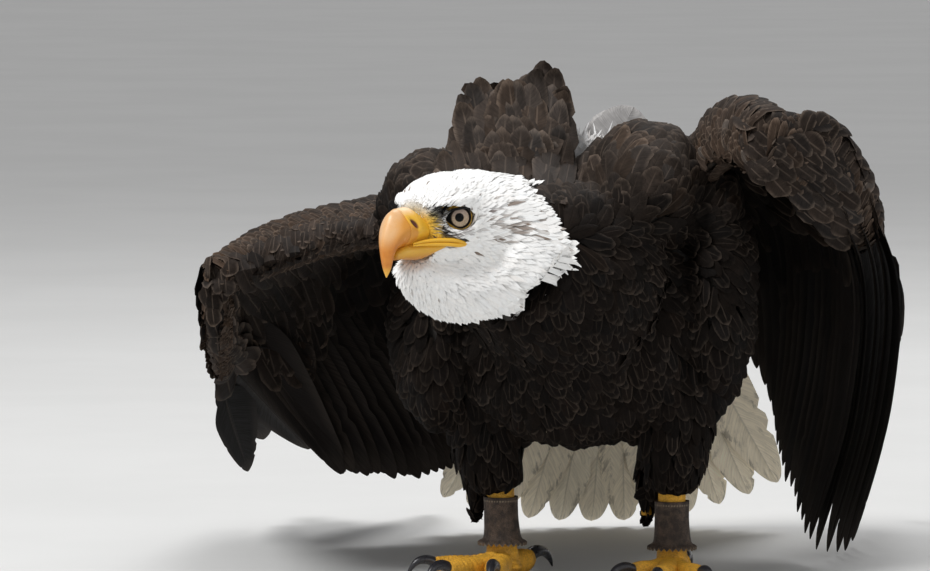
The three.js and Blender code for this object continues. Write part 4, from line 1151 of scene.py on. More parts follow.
def make_skin():
    near_head = lambda p: np.linalg.norm(p - HEAD["centre"], axis=-1) < FACE_REACH
    points, faces = refined(flesh.points, flesh.faces, near_head)
    f, _, _ = in_head(points)
    for i in np.flatnonzero(near_head(points)):
        place, n, _ = head_surface.near(points[i])
        bare = float(smooth(f[i], 6, 14))
        points[i] = place - n * (1.6 * (1 - bare) + 0.2 * bare)
    lids, parts, start = [], [(points, faces)], len(points)
    for side in (1, -1):
        ring, ring_faces, fold, turn = lid_ring(side, eye_centre(side))
        lids.append(((fold, turn), slice(start, start + len(ring))))
        parts.append((ring, ring_faces))
        start += len(ring)
    points, faces = joined(parts + bare_legs())
    names = FLESH + ["head", "foot_left", "foot_right", "tarsus_left", "tarsus_right", "scapular_lifted"]
    names += [f"wing_{side}_{half}" for side in WINGS for half in HALVES]
    piece = new_mesh("skin", points, faces, SKIN, names)
    set_tint(piece, skin_tint(points, lids))
    return piece


def unwrapped(piece):
    """Reads the skin's own unwrap at a place: each skin face's corners in UV, found by the nearest face."""
    bpy.context.view_layer.objects.active = piece
    piece.select_set(True)
    bpy.ops.object.mode_set(mode="EDIT")
    bpy.ops.mesh.select_all(action="SELECT")
    piece.data.uv_layers.new(name="OFBake")
    bpy.ops.uv.smart_project(angle_limit=1.2, island_margin=0.002)
    bpy.ops.object.mode_set(mode="OBJECT")
    piece.select_set(False)
    layer = piece.data.uv_layers["OFBake"]
    uv = np.empty(len(piece.data.loops) * 2, np.float32)
    layer.data.foreach_get("uv", uv)
    uv = uv.reshape(-1, 2)
    points, faces = arrays(piece.data)
    starts = [p.loop_start for p in piece.data.polygons]
    tree = BVHTree.FromPolygons(points.tolist(), faces)

    def read(p):
        place, _, index, _ = tree.find_nearest(Vector(p))
        corners = faces[index]
        weight = np.array([1 / (0.05 + math.dist(points[c], place)) for c in corners])
        here = uv[starts[index]:starts[index] + len(corners)]
        return (here * weight[:, None]).sum(0) / weight.sum()

    return read


CROWN = {"rise": 6.0, "forward": -82, "long": 20}


def full_crown(points):
    """The rear of the crown, where its longer feathers stand up off the skull."""
    f, _, u = in_head(points)
    rise = CROWN["rise"] * np.exp(-(((f - CROWN["forward"]) / CROWN["long"]) ** 2)) * smooth(u, 4, 20)
    return points + rise[:, None] * HEAD_UP


head_points, head_faces, head_normals = remeshed(cad("head", "neck_hood"), voxel=1.7, passes=5)
head_points = full_crown(head_points)
head_surface = Surface(head_points, head_faces, head_normals)
flesh = Surface(*build_skin())
skin = make_skin()
skin_uv = unwrapped(skin)


# ------------------------------------------------------------------ bill, eyes, claws and anklets

def make_bill():
    points, faces = bill_loft(UPPER_BILL, rings=110, sides=56, pinch=0.35)
    upper = new_mesh("bill_horn", points, faces, BILL, ["bill_upper"])
    f, _, u = in_head(points)
    # Along the culmen the tint is paler: partly the horn's own paler ridge, partly a painted highlight of
    # light from above.
    ahead_of = f - np.interp(u, [-34, -20, -10, 0, 8], [53, 55.5, 53, 48, 40])
    culmen_pale_and_highlight = smooth(ahead_of, -5, 1.5) * smooth(u, -24, -6)
    tint = tinge((0.68, 0.28, 0.03, 1), (0.74, 0.43, 0.20), culmen_pale_and_highlight)
    tint = tinge(tint, (0.54, 0.16, 0.008), smooth(-u, 4, 18) * (1 - 0.7 * culmen_pale_and_highlight))
    set_tint(upper, tinge(tint, (0.80, 0.42, 0.05), smooth(-u, 26, 32)))

    points, faces = bill_loft(LOWER_BILL, rings=50, sides=40, pinch=0.0, full=0.55)
    lower = new_mesh("bill_lower_horn", points, faces, BILL, ["bill_lower"])
    _, _, u = in_head(points)
    set_tint(lower, tinge((0.78, 0.44, 0.04, 1), (0.50, 0.19, 0.02), smooth(-u, 18, 26)))


def make_cere():
    """The cere with its nostrils, and the gape's fleshy edges."""
    rings, sides = 90, 120
    points, faces = joined([bill_loft(CERE, rings, sides, 0.25, cere_relief), gape(1), gape(-1)])
    cere = new_mesh("cere_skin", points, faces, CERE_SKIN, ["bill_cere"])
    f, _, u = in_head(points)
    tint = np.tile([0.82, 0.45, 0.025, 1.0], (len(points), 1))
    tint = tinge(tint, (0.80, 0.52, 0.26), smooth(u, 4, 9) * smooth(f, 24, 32))
    horn = f - np.interp(u, [-14.4, -10.1, -4.7, -1.5, 4, 9.5], [34.8, 31.4, 32.5, 38.3, 40.4, 42.4])
    own = np.arange(len(points)) < rings * sides
    tint = tinge(tint, (0.70, 0.30, 0.035), smooth(horn, -1, 1) * own)
    t, angle = np.linspace(0, 1, rings)[:, None], np.linspace(0, 2 * np.pi, sides, endpoint=False)[None]
    hole = np.zeros(len(points))
    hole[:rings * sides] = nostrils(t, angle)[0].ravel()
    # Painted shade: the nostrils' hollows are tinted near-black red for the depth of their openings.
    set_tint(cere, tinge(tint, (0.10, 0.012, 0.004), smooth(hole, 0.25, 0.6)))


def make_eyes():
    for name, side in (("left", 1), ("right", -1)):
        points, faces, iris = eyeball(side)
        ball = new_mesh(f"eyeball_{name}", points, faces, EYE_GLOSS, [f"eye_{name}"])
        set_attribute(ball.data, "iris", "FLOAT_VECTOR", iris)


# reach, height and thickness, the last as a share of the claw's radius but in millimetres at the tip
CLAW_ROWS, CLAW_TIP = [(0, 10, 1), (0.34, 13.2, 0.9), (0.66, 12.2, 0.68), (0.88, 7.2, 0.4)], (1, 1.2, 0.5)


def claw_relief(t, angle):
    """A hollow below and a low keel above."""
    return -0.16 * smooth(-np.sin(angle), 0.5, 1) + 0.05 * smooth(np.sin(angle), 0.6, 1)


def make_claws():
    for side in LEGS:
        for toe in TOES:
            start, r = toe["length"] - 1.5, toe["claw_radius"]
            shape = [(s, height, r * thick) for s, height, thick in CLAW_ROWS] + [CLAW_TIP]
            points = [toe_point(side, toe, start + toe["claw"] * s, height) for s, height, _ in shape]
            points, faces = tube(points, [thick for *_, thick in shape], 60, 24, claw_relief)
            node = f"claw_{side}_{toe['name']}"
            horn = new_mesh(f"{node}_horn", points, faces, CLAW, [node])
            set_tint(horn, np.tile([0.02, 0.02, 0.024, 1.0], (len(points), 1)))


SLEEVE = {"around": 240, "levels": 40, "wall": 1.3, "teeth": 26, "tooth": 2.4, "toothed": 0.12}
STITCHES, STITCH_LINE = 38, 0.93
SLEEVE_RADII = [  # share of the height from the rim up, and radius
    (0, ANKLET["rim"] + 0.4), (0.06, ANKLET["rim"] - 0.8), (0.14, ANKLET["outer"] + 1.6),
    (0.24, ANKLET["outer"] + 0.7), (0.5, ANKLET["outer"]), (0.8, ANKLET["outer"] - 0.2), (1, ANKLET["outer"]),
]
THREAD = [0.30, 0.24, 0.17]


def make_anklets():
    """A leather sleeve with a pinked, flared lower rim, a lapped seam and a line of stitches."""
    around, levels, toothed = SLEEVE["around"], SLEEVE["levels"], SLEEVE["toothed"]
    angle = np.linspace(0, 2 * np.pi, around, endpoint=False)
    teeth = np.abs(((angle * SLEEVE["teeth"] / (2 * np.pi)) % 1) - 0.5) * 2
    seam = 0.7 * smooth(np.cos(angle - 0.6), 0.93, 0.98)
    share = np.linspace(0, 1, levels)
    radius = spline(*zip(*SLEEVE_RADII), share)
    faces = grid_faces(2 * levels + 1, around) % (2 * levels * around)
    for side in LEGS:
        rings, tints = [], []
        for inner in (0, 1):
            for s, r in list(zip(share, radius))[::-1 if inner else 1]:
                z = ANKLET["low"] + (ANKLET["high"] - ANKLET["low"]) * s
                z = z + np.where(s < toothed, (1 - s / toothed) * SLEEVE["tooth"] * teeth, 0)
                crease = 0.25 * np.sin(angle * 3 + s * 7) * (1 - s)
                out = r + seam + crease - inner * SLEEVE["wall"]
                x, y = np.array([leg_axis(side, h)[:2] for h in z]).T
                rings.append(np.stack([x + out * np.cos(angle), y + out * np.sin(angle), z], axis=1))
                stitch = smooth(-np.abs(s - STITCH_LINE), -0.012, -0.006) * (np.sin(angle * STITCHES) > -0.2)
                worn = np.maximum(stitch * 0.8, smooth(-s, -0.03, 0.0) * 0.6)
                tints.append(np.column_stack([np.tile(THREAD, (around, 1)), worn]))
        node = f"anklet_{side}"
        points, tints = np.concatenate(rings), np.concatenate(tints)
        quads = [tuple(f) for f in faces.tolist()]
        set_tint(new_mesh(f"{node}_leather", points, quads, LEATHER, [node]), tints)


make_bill()
make_cere()
make_eyes()
make_claws()
make_anklets()


# ------------------------------------------------------------------ body feathers

UPWARD = Vector((0.11, 0.07, 0.99)).normalized()


class Nearest:
    """Which CAD node's surface lies nearest a place, and whether a place is inside a closed node."""

    def __init__(self, names):
        parts = cad(*names)
        self.owner = np.repeat(names, [len(faces) for _, faces in parts])
        points, faces = joined(parts)
        self.tree = BVHTree.FromPolygons(points.tolist(), faces)

    def owner_at(self, p):
        return self.owner[self.tree.find_nearest(Vector(p))[2]]

    def holds(self, p, deeper, deepest=30):
        """True for a place inside the closed node, more than a depth under its surface."""
        p = Vector(p)
        distance = self.tree.find_nearest(p)[3]
        if distance < deeper or distance > deepest:
            return False
        crossed, here = 0, p
        while here is not None:
            hit, _, _, _ = self.tree.ray_cast(here, UPWARD)
            crossed += hit is not None
            here = hit + UPWARD * 0.01 if hit is not None else None
        return crossed % 2 == 1


regions = Nearest(["head"] + FLESH)
under_wings = [Nearest([f"wing_{side}_{half}"]) for side in WINGS for half in HALVES]
BURY = 9.0


def exposed(p):
    return not any(wing.holds(p, BURY) for wing in under_wings)


BROWN = np.array([0.0066, 0.0049, 0.0040])
MANTLE_BROWN = np.array([0.036, 0.0275, 0.0225])
WHITE_TINT = np.array([0.90, 0.895, 0.88])
FLECK = np.array([0.20, 0.145, 0.11])
FLIGHT_TINT = np.array([0.010, 0.0080, 0.0072])
TOP = 366.0


def body_spacing(p):
    turning = np.exp(-(((p[:, 2] - 250) / 20) ** 2)) * smooth(-p[:, 1], -60, 0)
    return 6.9 + 2.2 * smooth(p[:, 2], 225, 275) - 0.8 * smooth(-p[:, 1], 60, 120) - 3.0 * turning


AHEAD_OF_ALL = -400  # y of a place in front of the whole bird


def draped(tree, tips, lean, length, half, lift, tint, blunt=0.9, sink=5.0, over=1.0):
    """Feathers hung on a surface that faces forward: each ends at a tip (across, up) and leans from upright.

    The root's end is cut back to where the surface starts; a tip past its edge runs on at the same depth."""
    steps = np.linspace(0, 1, 8)
    fall = np.linspace(0, 1, 4)
    lines, ups, kept = [], [], []
    for i, (x, z) in enumerate(tips):
        back = (1 - steps) * length[i]
        places = np.stack([x - back * math.sin(lean[i]), z - back * math.cos(lean[i])], axis=1)
        hits = [tree.ray_cast(Vector((px, AHEAD_OF_ALL, pz)), Vector((0, 1, 0))) for px, pz in places]
        met = [k for k, hit in enumerate(hits) if hit[0] is not None]
        if len(met) < 3:
            continue
        at = np.linspace(steps[met[0]], 1, 4)
        depth = np.interp(at, steps[met], [hits[k][0].y for k in met])
        depth = depth + np.array([sink, -over, -over, -over]) - lift[i] * fall
        facing = np.array([np.array(hits[k][1]) * (-1 if hits[k][1].y > 0 else 1) for k in met])
        facing = np.stack([np.interp(at, steps[met], facing[:, c]) for c in range(3)], axis=1)
        px, pz = (np.interp(at, steps, places[:, c]) for c in (0, 1))
        lines.append(np.stack([px, depth, pz], axis=1))
        ups.append(unit(unit(facing) * 0.5 + [0, -0.6, 0.1]))
        kept.append(i)
    wide = half[kept, None] * outline(LONG, 0.6, blunt)
    wide = wide * (1 + rng.normal(0, 0.06, wide.shape))
    roll = rng.normal(0, 0.08, (len(kept), 1))
    centre, up = through(np.array(lines), LONG), through(np.array(ups), LONG)
    return vanes(centre, up, LONG, wide, wide, FIVE, tint[kept], droop=wide * 0.2, roll=roll)


def hung(tree, tips, lean, sway, length, half, color, vary, edge, lift, fade=None, **shape):
    """Draped feathers that vary in lean, size and tint. fade is the heights between which their tint goes
    from painted shade below to painted light above.
    """
    count = len(tips)
    lean = lean + rng.normal(0, sway, count)
    length, half = length * varied(0.1, count), half * varied(0.08, count)
    tint = tinted(count, color, vary, edge, edge_vary=0.15)
    if fade:
        # Painted light and shade: tips low in the patch are darkened and those high up lightened, with paler
        # edges higher.
        painted_light_share = smooth(tips[:, 1], *fade)
        tint[:, :3] = tint[:, :3] * (0.45 + 0.95 * painted_light_share[:, None])
        tint[:, 3] = tint[:, 3] * (0.4 + 0.6 * painted_light_share)
    return draped(tree, tips, lean, length, half, rng.uniform(*lift, count), tint, **shape)


def tiled(low, high, pitch, rise, inside):
    """Staggered rows of places, jittered, that a test keeps."""
    found = []
    for k, z in enumerate(np.arange(low[1], high[1], rise)):
        for x in np.arange(low[0] + 0.5 * pitch * (k % 2), high[0], pitch):
            p = np.array([x, z]) + rng.normal(0, 0.17 * pitch, 2)
            if inside(*p):
                found.append(p)
    return np.array(found)


CREST = [(-88, 296), (-74, 322), (-68, 344), (-52, 347), (-44, 342), (-38, 353), (-28, 352), (-20, 358),
         (-6, 361), (0, 350), (4, 338), (9, 310)]
CREST_MIDDLE, CREST_SPREAD = -31.0, 0.0060
CREST_PATCH = {"low": (-90, 286), "high": (12, 362), "pitch": 10.0, "rise": 8.0}


def crest_batch():
    """The raised mantle's long feathers, spread from the shoulders up to a ragged crest."""
    xs, zs = zip(*CREST)
    tips = tiled(**CREST_PATCH, inside=lambda x, z: z < np.interp(x, xs, zs, left=0, right=0) + 1)
    rim = np.arange(-82, 8, 6.5)
    rim_tips = np.stack([rim, np.interp(rim, xs, zs) + rng.normal(-1, 2.5, len(rim))], axis=1)
    tips = np.concatenate([tips, rim_tips])
    high = smooth(tips[:, 1], 292, 325)
    behind_head = Surface(*remeshed(cad("mantle_raised", "neck_base", "trunk"), voxel=3.6, passes=8))
    return hung(behind_head.tree, tips, CREST_SPREAD * (tips[:, 0] - CREST_MIDDLE), 0.07, 30 + 16 * high,
                7.2 + 3.2 * high, MANTLE_BROWN, 0.16, 0.42, (2.5, 5.0), blunt=0.7)


COAT_SPLIT = 232  # the height above which the back and the breast are the mantle's piece
SHOULDERS, TUFT_RISE = (246, 290), (285, 315)  # the heights between which feathers grow to their full size
UP_TUFT, BEHIND_TUFT, OVER_TUFT = (30, 90, 0.12), np.array([0.05, 0.55, -0.8]), np.array([0.1, 1.0, 0.1])
DOWN_THIGH = np.array([0.02, 0.28, -1.0])


def make_body():
    """Scalloped contour feathers: trunk, neck, thighs, and the raised mantle's sides and back."""
    roots = scatter(guide_points, guide_faces, body_spacing)
    labels = np.array([regions.owner_at(p) for p in roots])
    keep = np.array([exposed(p) for p in roots])
    keep &= ~(np.isin(labels, ["head", "neck_hood"]) & (hood_edge(roots) > 4))
    roots, labels = roots[keep], labels[keep]
    count, (x, y, z) = len(roots), roots.T
    normals = np.array([outside.near(p)[1] for p in roots])
    raised, thigh = labels == "mantle_raised", np.char.startswith(labels, "thigh")
    flat_top = raised & (normals[:, 2] > 0.45) & (z > 318)
    up = np.stack([(x + UP_TUFT[0]) / UP_TUFT[1], np.full(count, UP_TUFT[2]), np.ones(count)], axis=1)
    lies = blend(body_lie(roots, normals), up, raised)
    lies = blend(lies, BEHIND_TUFT, raised & (normals[:, 1] > 0.25))
    lies = blend(lies, OVER_TUFT, flat_top)
    lies = blend(lies, DOWN_THIGH, thigh)
    high, tall = smooth(z, *SHOULDERS), smooth(z, *TUFT_RISE)
    lengths = np.where(thigh, 25, (25 + 9 * high) * varied(0.12, count))
    widths = (5.9 + 3.6 * high) * varied(0.1, count)
    widths = np.where(raised, 7 + 3.5 * tall, np.where(thigh, 4.8, widths))
    raised_lengths = np.minimum((30 + 14 * tall) * varied(0.15, count), (TOP - z) / 0.95)
    lengths = np.where(flat_top, 16.0, np.where(raised, raised_lengths, lengths))
    run = unit(lies - normals * (lies * normals).sum(1, keepdims=True))
    ends = roots + run * lengths[:, None]
    fit = (lengths > 9) & ~(raised & (normals[:, 1] < -0.1) & (z > 300))
    fit &= ~(raised & (normals[:, 1] < 0.25) & (ends[:, 2] > np.interp(ends[:, 0], *zip(*CREST)) + 1))
    lift = 0.8 + 1.8 * rng.random(count) ** 3 + 2.5 * raised * rng.random(count)
    cling = np.where(raised & ~flat_top, 0.4, 0.92)
    color = blend(BROWN, MANTLE_BROWN, np.maximum(high * 0.9, raised))
    tint = tinted(count, BROWN, vary=0.22, edge=0.35)
    tint[:, :3] = color * (tint[:, :3] / BROWN)
    tint[:, 3] = np.clip(0.2 + 0.25 * high + 0.1 * raised + rng.normal(0, 0.14, count), 0, 1)
    above = (z > COAT_SPLIT) | raised
    pieces = {
        "coat_mantle": above, "coat_breast": ~above & ~thigh & (y < 0),
        "coat_back": ~above & ~thigh & (y >= 0), "coat_thighs": thigh,
    }
    for name, pick in pieces.items():
        pick = pick & fit
        batches = [body_vanes(
            outside, roots[pick], lies[pick], lengths[pick], widths[pick], tint[pick],
            sink=5.0, lift=lift[pick], cling=cling[pick], blunt=0.85, sway=0.13, roll=0.06, fray=0.09,
        )]
        if name == "coat_mantle":
            batches.append(crest_batch())
        make_coat(name, batches, PLUMAGE)


HOOD_MIDDLE = (-60, 250)
HOOD_EDGE = {  # how far the white reaches from its middle, at each turn in degrees as seen from in front
    "turn": [-180, -157, -147, -135, -117, -86, -54, -47, -28, -14, 10, 26, 43, 54, 75, 180],
    "reach": [62, 62, 65.6, 65.6, 66, 59.5, 61, 69, 71.5, 71, 60, 57, 54, 52, 90, 200],
}
HOOD = {  # the feathers at each distance from the bill's base
    "far": [0, 18, 34, 55, 80, 110, 150],
    "gap": [1.2, 1.25, 1.45, 1.8, 2.3, 2.8, 3.0],
    "length": [3.4, 4.4, 7.0, 11.5, 17, 22, 24],
    "width": [0.75, 0.9, 1.45, 2.1, 2.6, 2.7, 2.7],
}
FACE_END = 50  # how far from the bill's base the face's small feathers give way to the hood's
SEEN = 7.0  # how deep under the whole plumage a root may lie
LIE_SHARE, SHORTEST = 0.85, 7  # how much of a feather's length shows from in front, and the shortest kept
GREY = np.array([0.22, 0.19, 0.18])


def hood_edge(p):
    """How far a place is inside the lower and rear edge of the white, as the feather tips should draw it."""
    x, z = p[:, 0] - HOOD_MIDDLE[0], p[:, 2] - HOOD_MIDDLE[1]
    turn = np.degrees(np.arctan2(z, x))
    return np.interp(turn, HOOD_EDGE["turn"], HOOD_EDGE["reach"]) - np.hypot(x, z)


def from_bill(p):
    return np.linalg.norm(p - BILL_BASE, axis=1)


def hood_value(key, far):
    return np.interp(far, HOOD["far"], HOOD[key])


def hood_spacing(p):
    """Feathers stand closest on the face. The lores, the eyes and the bill are bare."""
    f, s, u = in_head(p)
    eyes = [face(EYE["forward"] + 4, k * 25, EYE["up"] - 0.5) for k in (1, -1)]
    near_eye = np.minimum(*(np.linalg.norm(p - eye, axis=1) for eye in eyes))
    aside = np.abs(s) > 7
    mouth = (f > 1) & (u > -20) & (u < -12.5) & aside
    lores = (f > bare_edge(u) - 1.0) & (u > -17) & (u < brow_edge(f)) & aside
    front = (f > 0) & (f < 20) & (u > 2) & (u < brow_edge(f)) & aside
    bare = ((f > 21.5) & (u > -22)) | (f > 34) | (near_eye < 7.8) | lores | front | mouth
    return np.where(bare, 0, hood_value("gap", from_bill(p)))


def make_hood():
    """The white feathers: very small on the face, lanceolate on the hood, and ragged at its edge."""
    roots = scatter(head_points, head_faces, hood_spacing)
    roots = roots[[outside.near(p)[2] < SEEN for p in roots]]
    far = from_bill(roots)
    lengths = hood_value("length", far) * varied(0.12, len(roots))
    short = hood_edge(roots) / LIE_SHARE
    keep = short > SHORTEST
    roots, far, lengths, short = roots[keep], far[keep], lengths[keep], short[keep]
    count = len(roots)
    ragged = short * rng.uniform(0.8, 1.15, count)
    lengths = np.where((short < 34) & (far > 66), ragged, np.minimum(lengths, ragged))
    lies = head_lie(roots) + smooth(far, 70, 120)[:, None] * np.array([0.12, 0.1, -0.15])
    tint = plain(count, WHITE_TINT, vary=0.025, hue=0.006)
    f, s, u = in_head(roots)
    ear = spot(f, u, (-23, -10), (15, 9)) * (np.abs(s) > 12)
    temple = spot(f, u, (-17, 3.5), (6, 3)) * (np.abs(s) > 14)
    nape = smooth(-f, 30, 60) * smooth(-u, -4, 14) * smooth(s, 0, 20)
    brow = spot(f, u, (8, 14.5), (9, 2.5))
    under_eye = spot(f, u, (3, -8.5), (9, 4.5))
    share = 0.003 + 0.85 * ear + 0.06 * nape + 0.04 * brow + 0.5 * under_eye + 0.7 * temple
    flecked = rng.random(count) < share
    amount = np.where(flecked, rng.uniform(0.3, 1.0, count), 0.0)
    widths = hood_value("width", far) * np.where(flecked & (far > 34), 0.65, 1.0)
    tint[:, :3] = blend(tint[:, :3], np.where((under_eye + temple > 0.4)[:, None], GREY, FLECK), amount)
    groups = {
        "coat_face": (head_surface, far < FACE_END, SMALL, 1.0, 0.2),
        "coat_hood": (hood_surface, far >= FACE_END, LONG[[0, 1, 3, 4, 6, 7]], 2.0, 0.38),
    }
    for name, (surface, pick, stations, sink, lift) in groups.items():
        edge = smooth(-short[pick], -26, -10) * (1.1 + 1.4 * rng.random(pick.sum()) ** 1.5)
        batch = body_vanes(
            surface, roots[pick], lies[pick], lengths[pick], widths[pick], tint[pick], stations=stations,
            across=THREE, sink=sink, lift=lift * (0.6 + rng.random(pick.sum())) + edge, peak=0.4, blunt=0.1,
            sway=0.07, thick=0.06, bow=0.04, cling=np.where(short[pick] < 20, 0.85, 0.97), roll=0.02,
        )
        make_coat(name, [batch], WHITE)


LIFTED = {"root": (24, -4, 286), "tip": (52, 18, 329), "face": (-0.2, -1, 0.4), "half": 22.0, "bend": -4.0}
LIFTED_FEATHERS = [(0, 0, 1, 0.30), (-7, -2.5, 0.92, 0.42), (8, -3, 0.86, 0.12)]  # aside, ahead, length, grey
LIFTED_DOWN = {"count": 640, "tint": np.array([0.80, 0.79, 0.78]), "half": 0.9}


def make_lifted():
    """The blown-up shoulder feather: a broad grey vane, two more behind it, and white down at its foot."""
    root, tip = np.array(LIFTED["root"], float), np.array(LIFTED["tip"], float)
    way, up = unit(tip - root), unit(LIFTED["face"])
    side = np.cross(way, up)
    t = FLIGHT[:, None]
    lines, tints = [], []
    for aside, ahead, reach, grey in LIFTED_FEATHERS:
        bend = up * (ahead + LIFTED["bend"] * np.sin(np.pi * t))
        lines.append(root + (tip - root) * reach * t + side * aside * t + bend)
        tints.append([grey, grey * 0.97, grey * 0.95, 0.2])
    half = LIFTED["half"] * (outline(FLIGHT, 0.55, 0.95) * (0.25 + 0.75 * smooth(FLIGHT, 0.12, 0.5)))[None]
    half = half * splits(len(lines), many=3, deep=0.12)
    broad = vanes(np.array(lines), up, FLIGHT, half, half, NINE, tints,
                  droop=half * 0.12, thick=0.3, shaft=0.5)

    count = LIFTED_DOWN["count"]
    turn, far = rng.uniform(-1.3, 1.3, count), rng.uniform(6, 14, count)
    spread = lambda low, high: rng.uniform(low, high, (count, 1))
    heading = way * np.cos(turn)[:, None] + side * np.sin(turn)[:, None] + up * spread(0.0, 0.5)
    start = root + side * spread(-19, 13) + way * spread(-10, 16) + up * 1.5
    s = SMALL[None, :, None]
    curl = np.cross(heading, up) * rng.normal(0, 0.6, (count, 1))
    threads = start[:, None] + (heading[:, None] * s + curl[:, None] * s**2) * far[:, None, None]
    thin = LIFTED_DOWN["half"] * outline(SMALL, 0.4, 0.5)[None]
    tint = plain(count, LIFTED_DOWN["tint"], vary=0.06)
    down = vanes(threads, up, SMALL, thin, thin, THREE, tint, thick=0.08)
    make_coat("lifted_feather", [broad, down], LIFTED_VANE)


BRISTLE_GAP = 1.25
BRISTLE_TINTS = np.array([[0.012, 0.011, 0.011], [0.16, 0.15, 0.14], [0.60, 0.59, 0.56]])
BRISTLE_SHARES = [0.45, 0.3, 0.25]


def bristle_spacing(p):
    f, s, u = in_head(p)
    on = (f > bare_edge(u) - 4) & (f < 23) & (u > -13)
    on |= (f > 8) & (f < 18) & (u > 2.5)
    return np.where(on & (u < brow_edge(f)) & (np.abs(s) > 7), BRISTLE_GAP, 0)


def make_bristles():
    """Fine black, grey and white hairs over the bare lores, thickest under the brow."""
    roots = scatter(head_points, head_faces, bristle_spacing)
    f, _, u = in_head(roots)
    keep = rng.random(len(roots)) < np.clip(0.25 + 0.9 * smooth(bare_edge(u) + 7 - f, -3, 6) + (u > 2), 0, 1)
    roots, f, u = roots[keep], f[keep], u[keep]
    lies, count = head_lie(roots) + rng.normal(0, 0.22, roots.shape), len(roots)
    kind = np.where(u > 2, 0, rng.choice(3, count, p=BRISTLE_SHARES))
    tint = np.concatenate([BRISTLE_TINTS[kind], np.zeros((count, 1))], axis=1)
    batch = body_vanes(
        head_surface, roots, lies, rng.uniform(3.5, 6.0, count), rng.uniform(0.16, 0.3, count), tint,
        stations=SMALL, across=THREE, sink=0.3, lift=0.7, peak=0.3, blunt=0.1, sway=0.2, thick=0.06, bow=0.1,
    )
    make_coat("bristles", [batch], WHITE)


# ------------------------------------------------------------------ wing feathers

def arc_steps(wing, half, g, v0, length, stations):
    """The v reached after each share of a length along the wing from v0, for every feather."""
    grid = np.concatenate([np.linspace(-1.05, 0, 24), np.linspace(0.02, 1.0, 40)])
    line = wing_point(wing, half, g[:, None], grid[None])
    steps = np.linalg.norm(np.diff(line, axis=1), axis=2)
    walk = np.concatenate([np.zeros((len(g), 1)), np.cumsum(steps, axis=1)], axis=1)
    out = np.empty((len(g), len(stations)))
    for i in range(len(g)):
        start = np.interp(v0[i], grid, walk[i])
        out[i] = np.interp(start + length[i] * stations, walk[i], grid)
    return out


COVERT_ROWS = {"arm": [  # v, length and half width
    (-1.0, 14, 3.9), (-0.94, 15, 4.3), (-0.87, 17, 4.8), (-0.79, 20, 5.4), (-0.7, 23, 6.1), (-0.6, 27, 7.0),
    (-0.49, 31, 8.0), (-0.37, 36, 9.2), (-0.24, 42, 10.5), (-0.1, 50, 12.0), (0.02, 58, 13.5),
    (0.1, 72, 15.5), (0.18, 86, 17.0),
], "hand": [
    (-1.0, 15, 4.2), (-0.86, 18, 5.0), (-0.7, 22, 6.0), (-0.52, 27, 7.2), (-0.33, 33, 8.6), (-0.14, 40, 10.0),
    (0.0, 54, 11.0), (0.07, 84, 12.5),
]}
COVERT_ENDS = {"arm": (-4.4, WRIST + 0.3), "hand": (WRIST - 0.3, LAST + 0.3)}
PALE_SHARE, PALE = 0.012, [0.075, 0.062, 0.053]
CHESTNUT = np.array([0.039, 0.027, 0.020])
COVERT = np.array([0.022, 0.0165, 0.0135])
LINING = np.array([0.0066, 0.0051, 0.0044])


def covert_batch(wing, half, upper):
    """Rows of coverts over one face of a wing's half, from the leading edge back over the flight feathers."""
    ends, rows = COVERT_ENDS[half], []
    for k, (v, length, width) in enumerate(COVERT_ROWS[half]):
        gs = np.linspace(*ends, 120)
        line = wing_point(wing, half, gs, v)
        walk = np.r_[0, np.cumsum(np.linalg.norm(np.diff(line, axis=0), axis=1))]
        count = max(3, int(walk[-1] / (width * 1.45)))
        at = (np.arange(count) + 0.5 * (k % 2) + rng.normal(0, 0.14, count)) / count
        rows.append([
            np.interp(at * walk[-1], walk, gs), v + rng.normal(0, 0.012, count), length * varied(0.07, count),
            width * varied(0.06, count), np.full(count, v),
        ])
    found = np.concatenate(rows, axis=1)
    g, v, length, width, row_v = found[:, (found[0] > ends[0]) & (found[0] < ends[1])]
    count = len(g)
    vs = arc_steps(wing, half, g, np.maximum(v, -1.03), length, LONG)
    gs = np.repeat(g[:, None], len(LONG), axis=1)
    normal = wing_normal(wing, half, gs, vs)
    sign = 1 if upper else -1
    depth = wing_depth(half, gs, np.clip(vs, -1, 1))[0 if upper else 1]
    nose = smooth(-v, 0.86, 1.0)[:, None]
    start = nose * depth * (rng.random((count, 1)) * 1.3 + 0.1)
    rise = 1 - start / depth * (1 - smooth(LONG[None], 0, 0.45))
    height = depth * rise - 2.2 * (1 - LONG[None] ** 0.7) + (1.0 + 1.1 * rng.random((count, 1))) * LONG[None]
    height = np.maximum(height, 0.7 if upper else 3.2) * sign
    centre = wing_point(wing, half, gs, vs) + normal * height[..., None]
    tint = tinted(count, COVERT, vary=0.22, edge=0.6, edge_vary=0.2)
    tint[:, :3] = blend(tint[:, :3], CHESTNUT * (tint[:, :3] / COVERT), smooth(-row_v, 0.45, 0.85))
    tint[rng.random(count) < PALE_SHARE, :3] = PALE
    if not upper and (half == "arm" or wing == "left"):
        dark = smooth(row_v, -0.9, -0.3)
        tint[:, :3] = blend(tint[:, :3], LINING * (tint[:, :3] / COVERT), dark)
        tint[:, 3] = tint[:, 3] * (1 - 0.75 * dark)
    half_width = width[:, None] * outline(LONG, 0.6, 0.92)
    return vanes(centre, normal * sign, LONG, half_width, half_width, FIVE, tint, droop=half_width * 0.2,
                 thick=0.24, roll=rng.normal(0, 0.07, (count, 1)))


FLIGHT = np.concatenate([np.linspace(0, 0.86, 30), np.linspace(0.875, 1.0, 12)])
NINE = [-1, -0.66, -0.3, -0.05, 0, 0.05, 0.3, 0.66, 1]


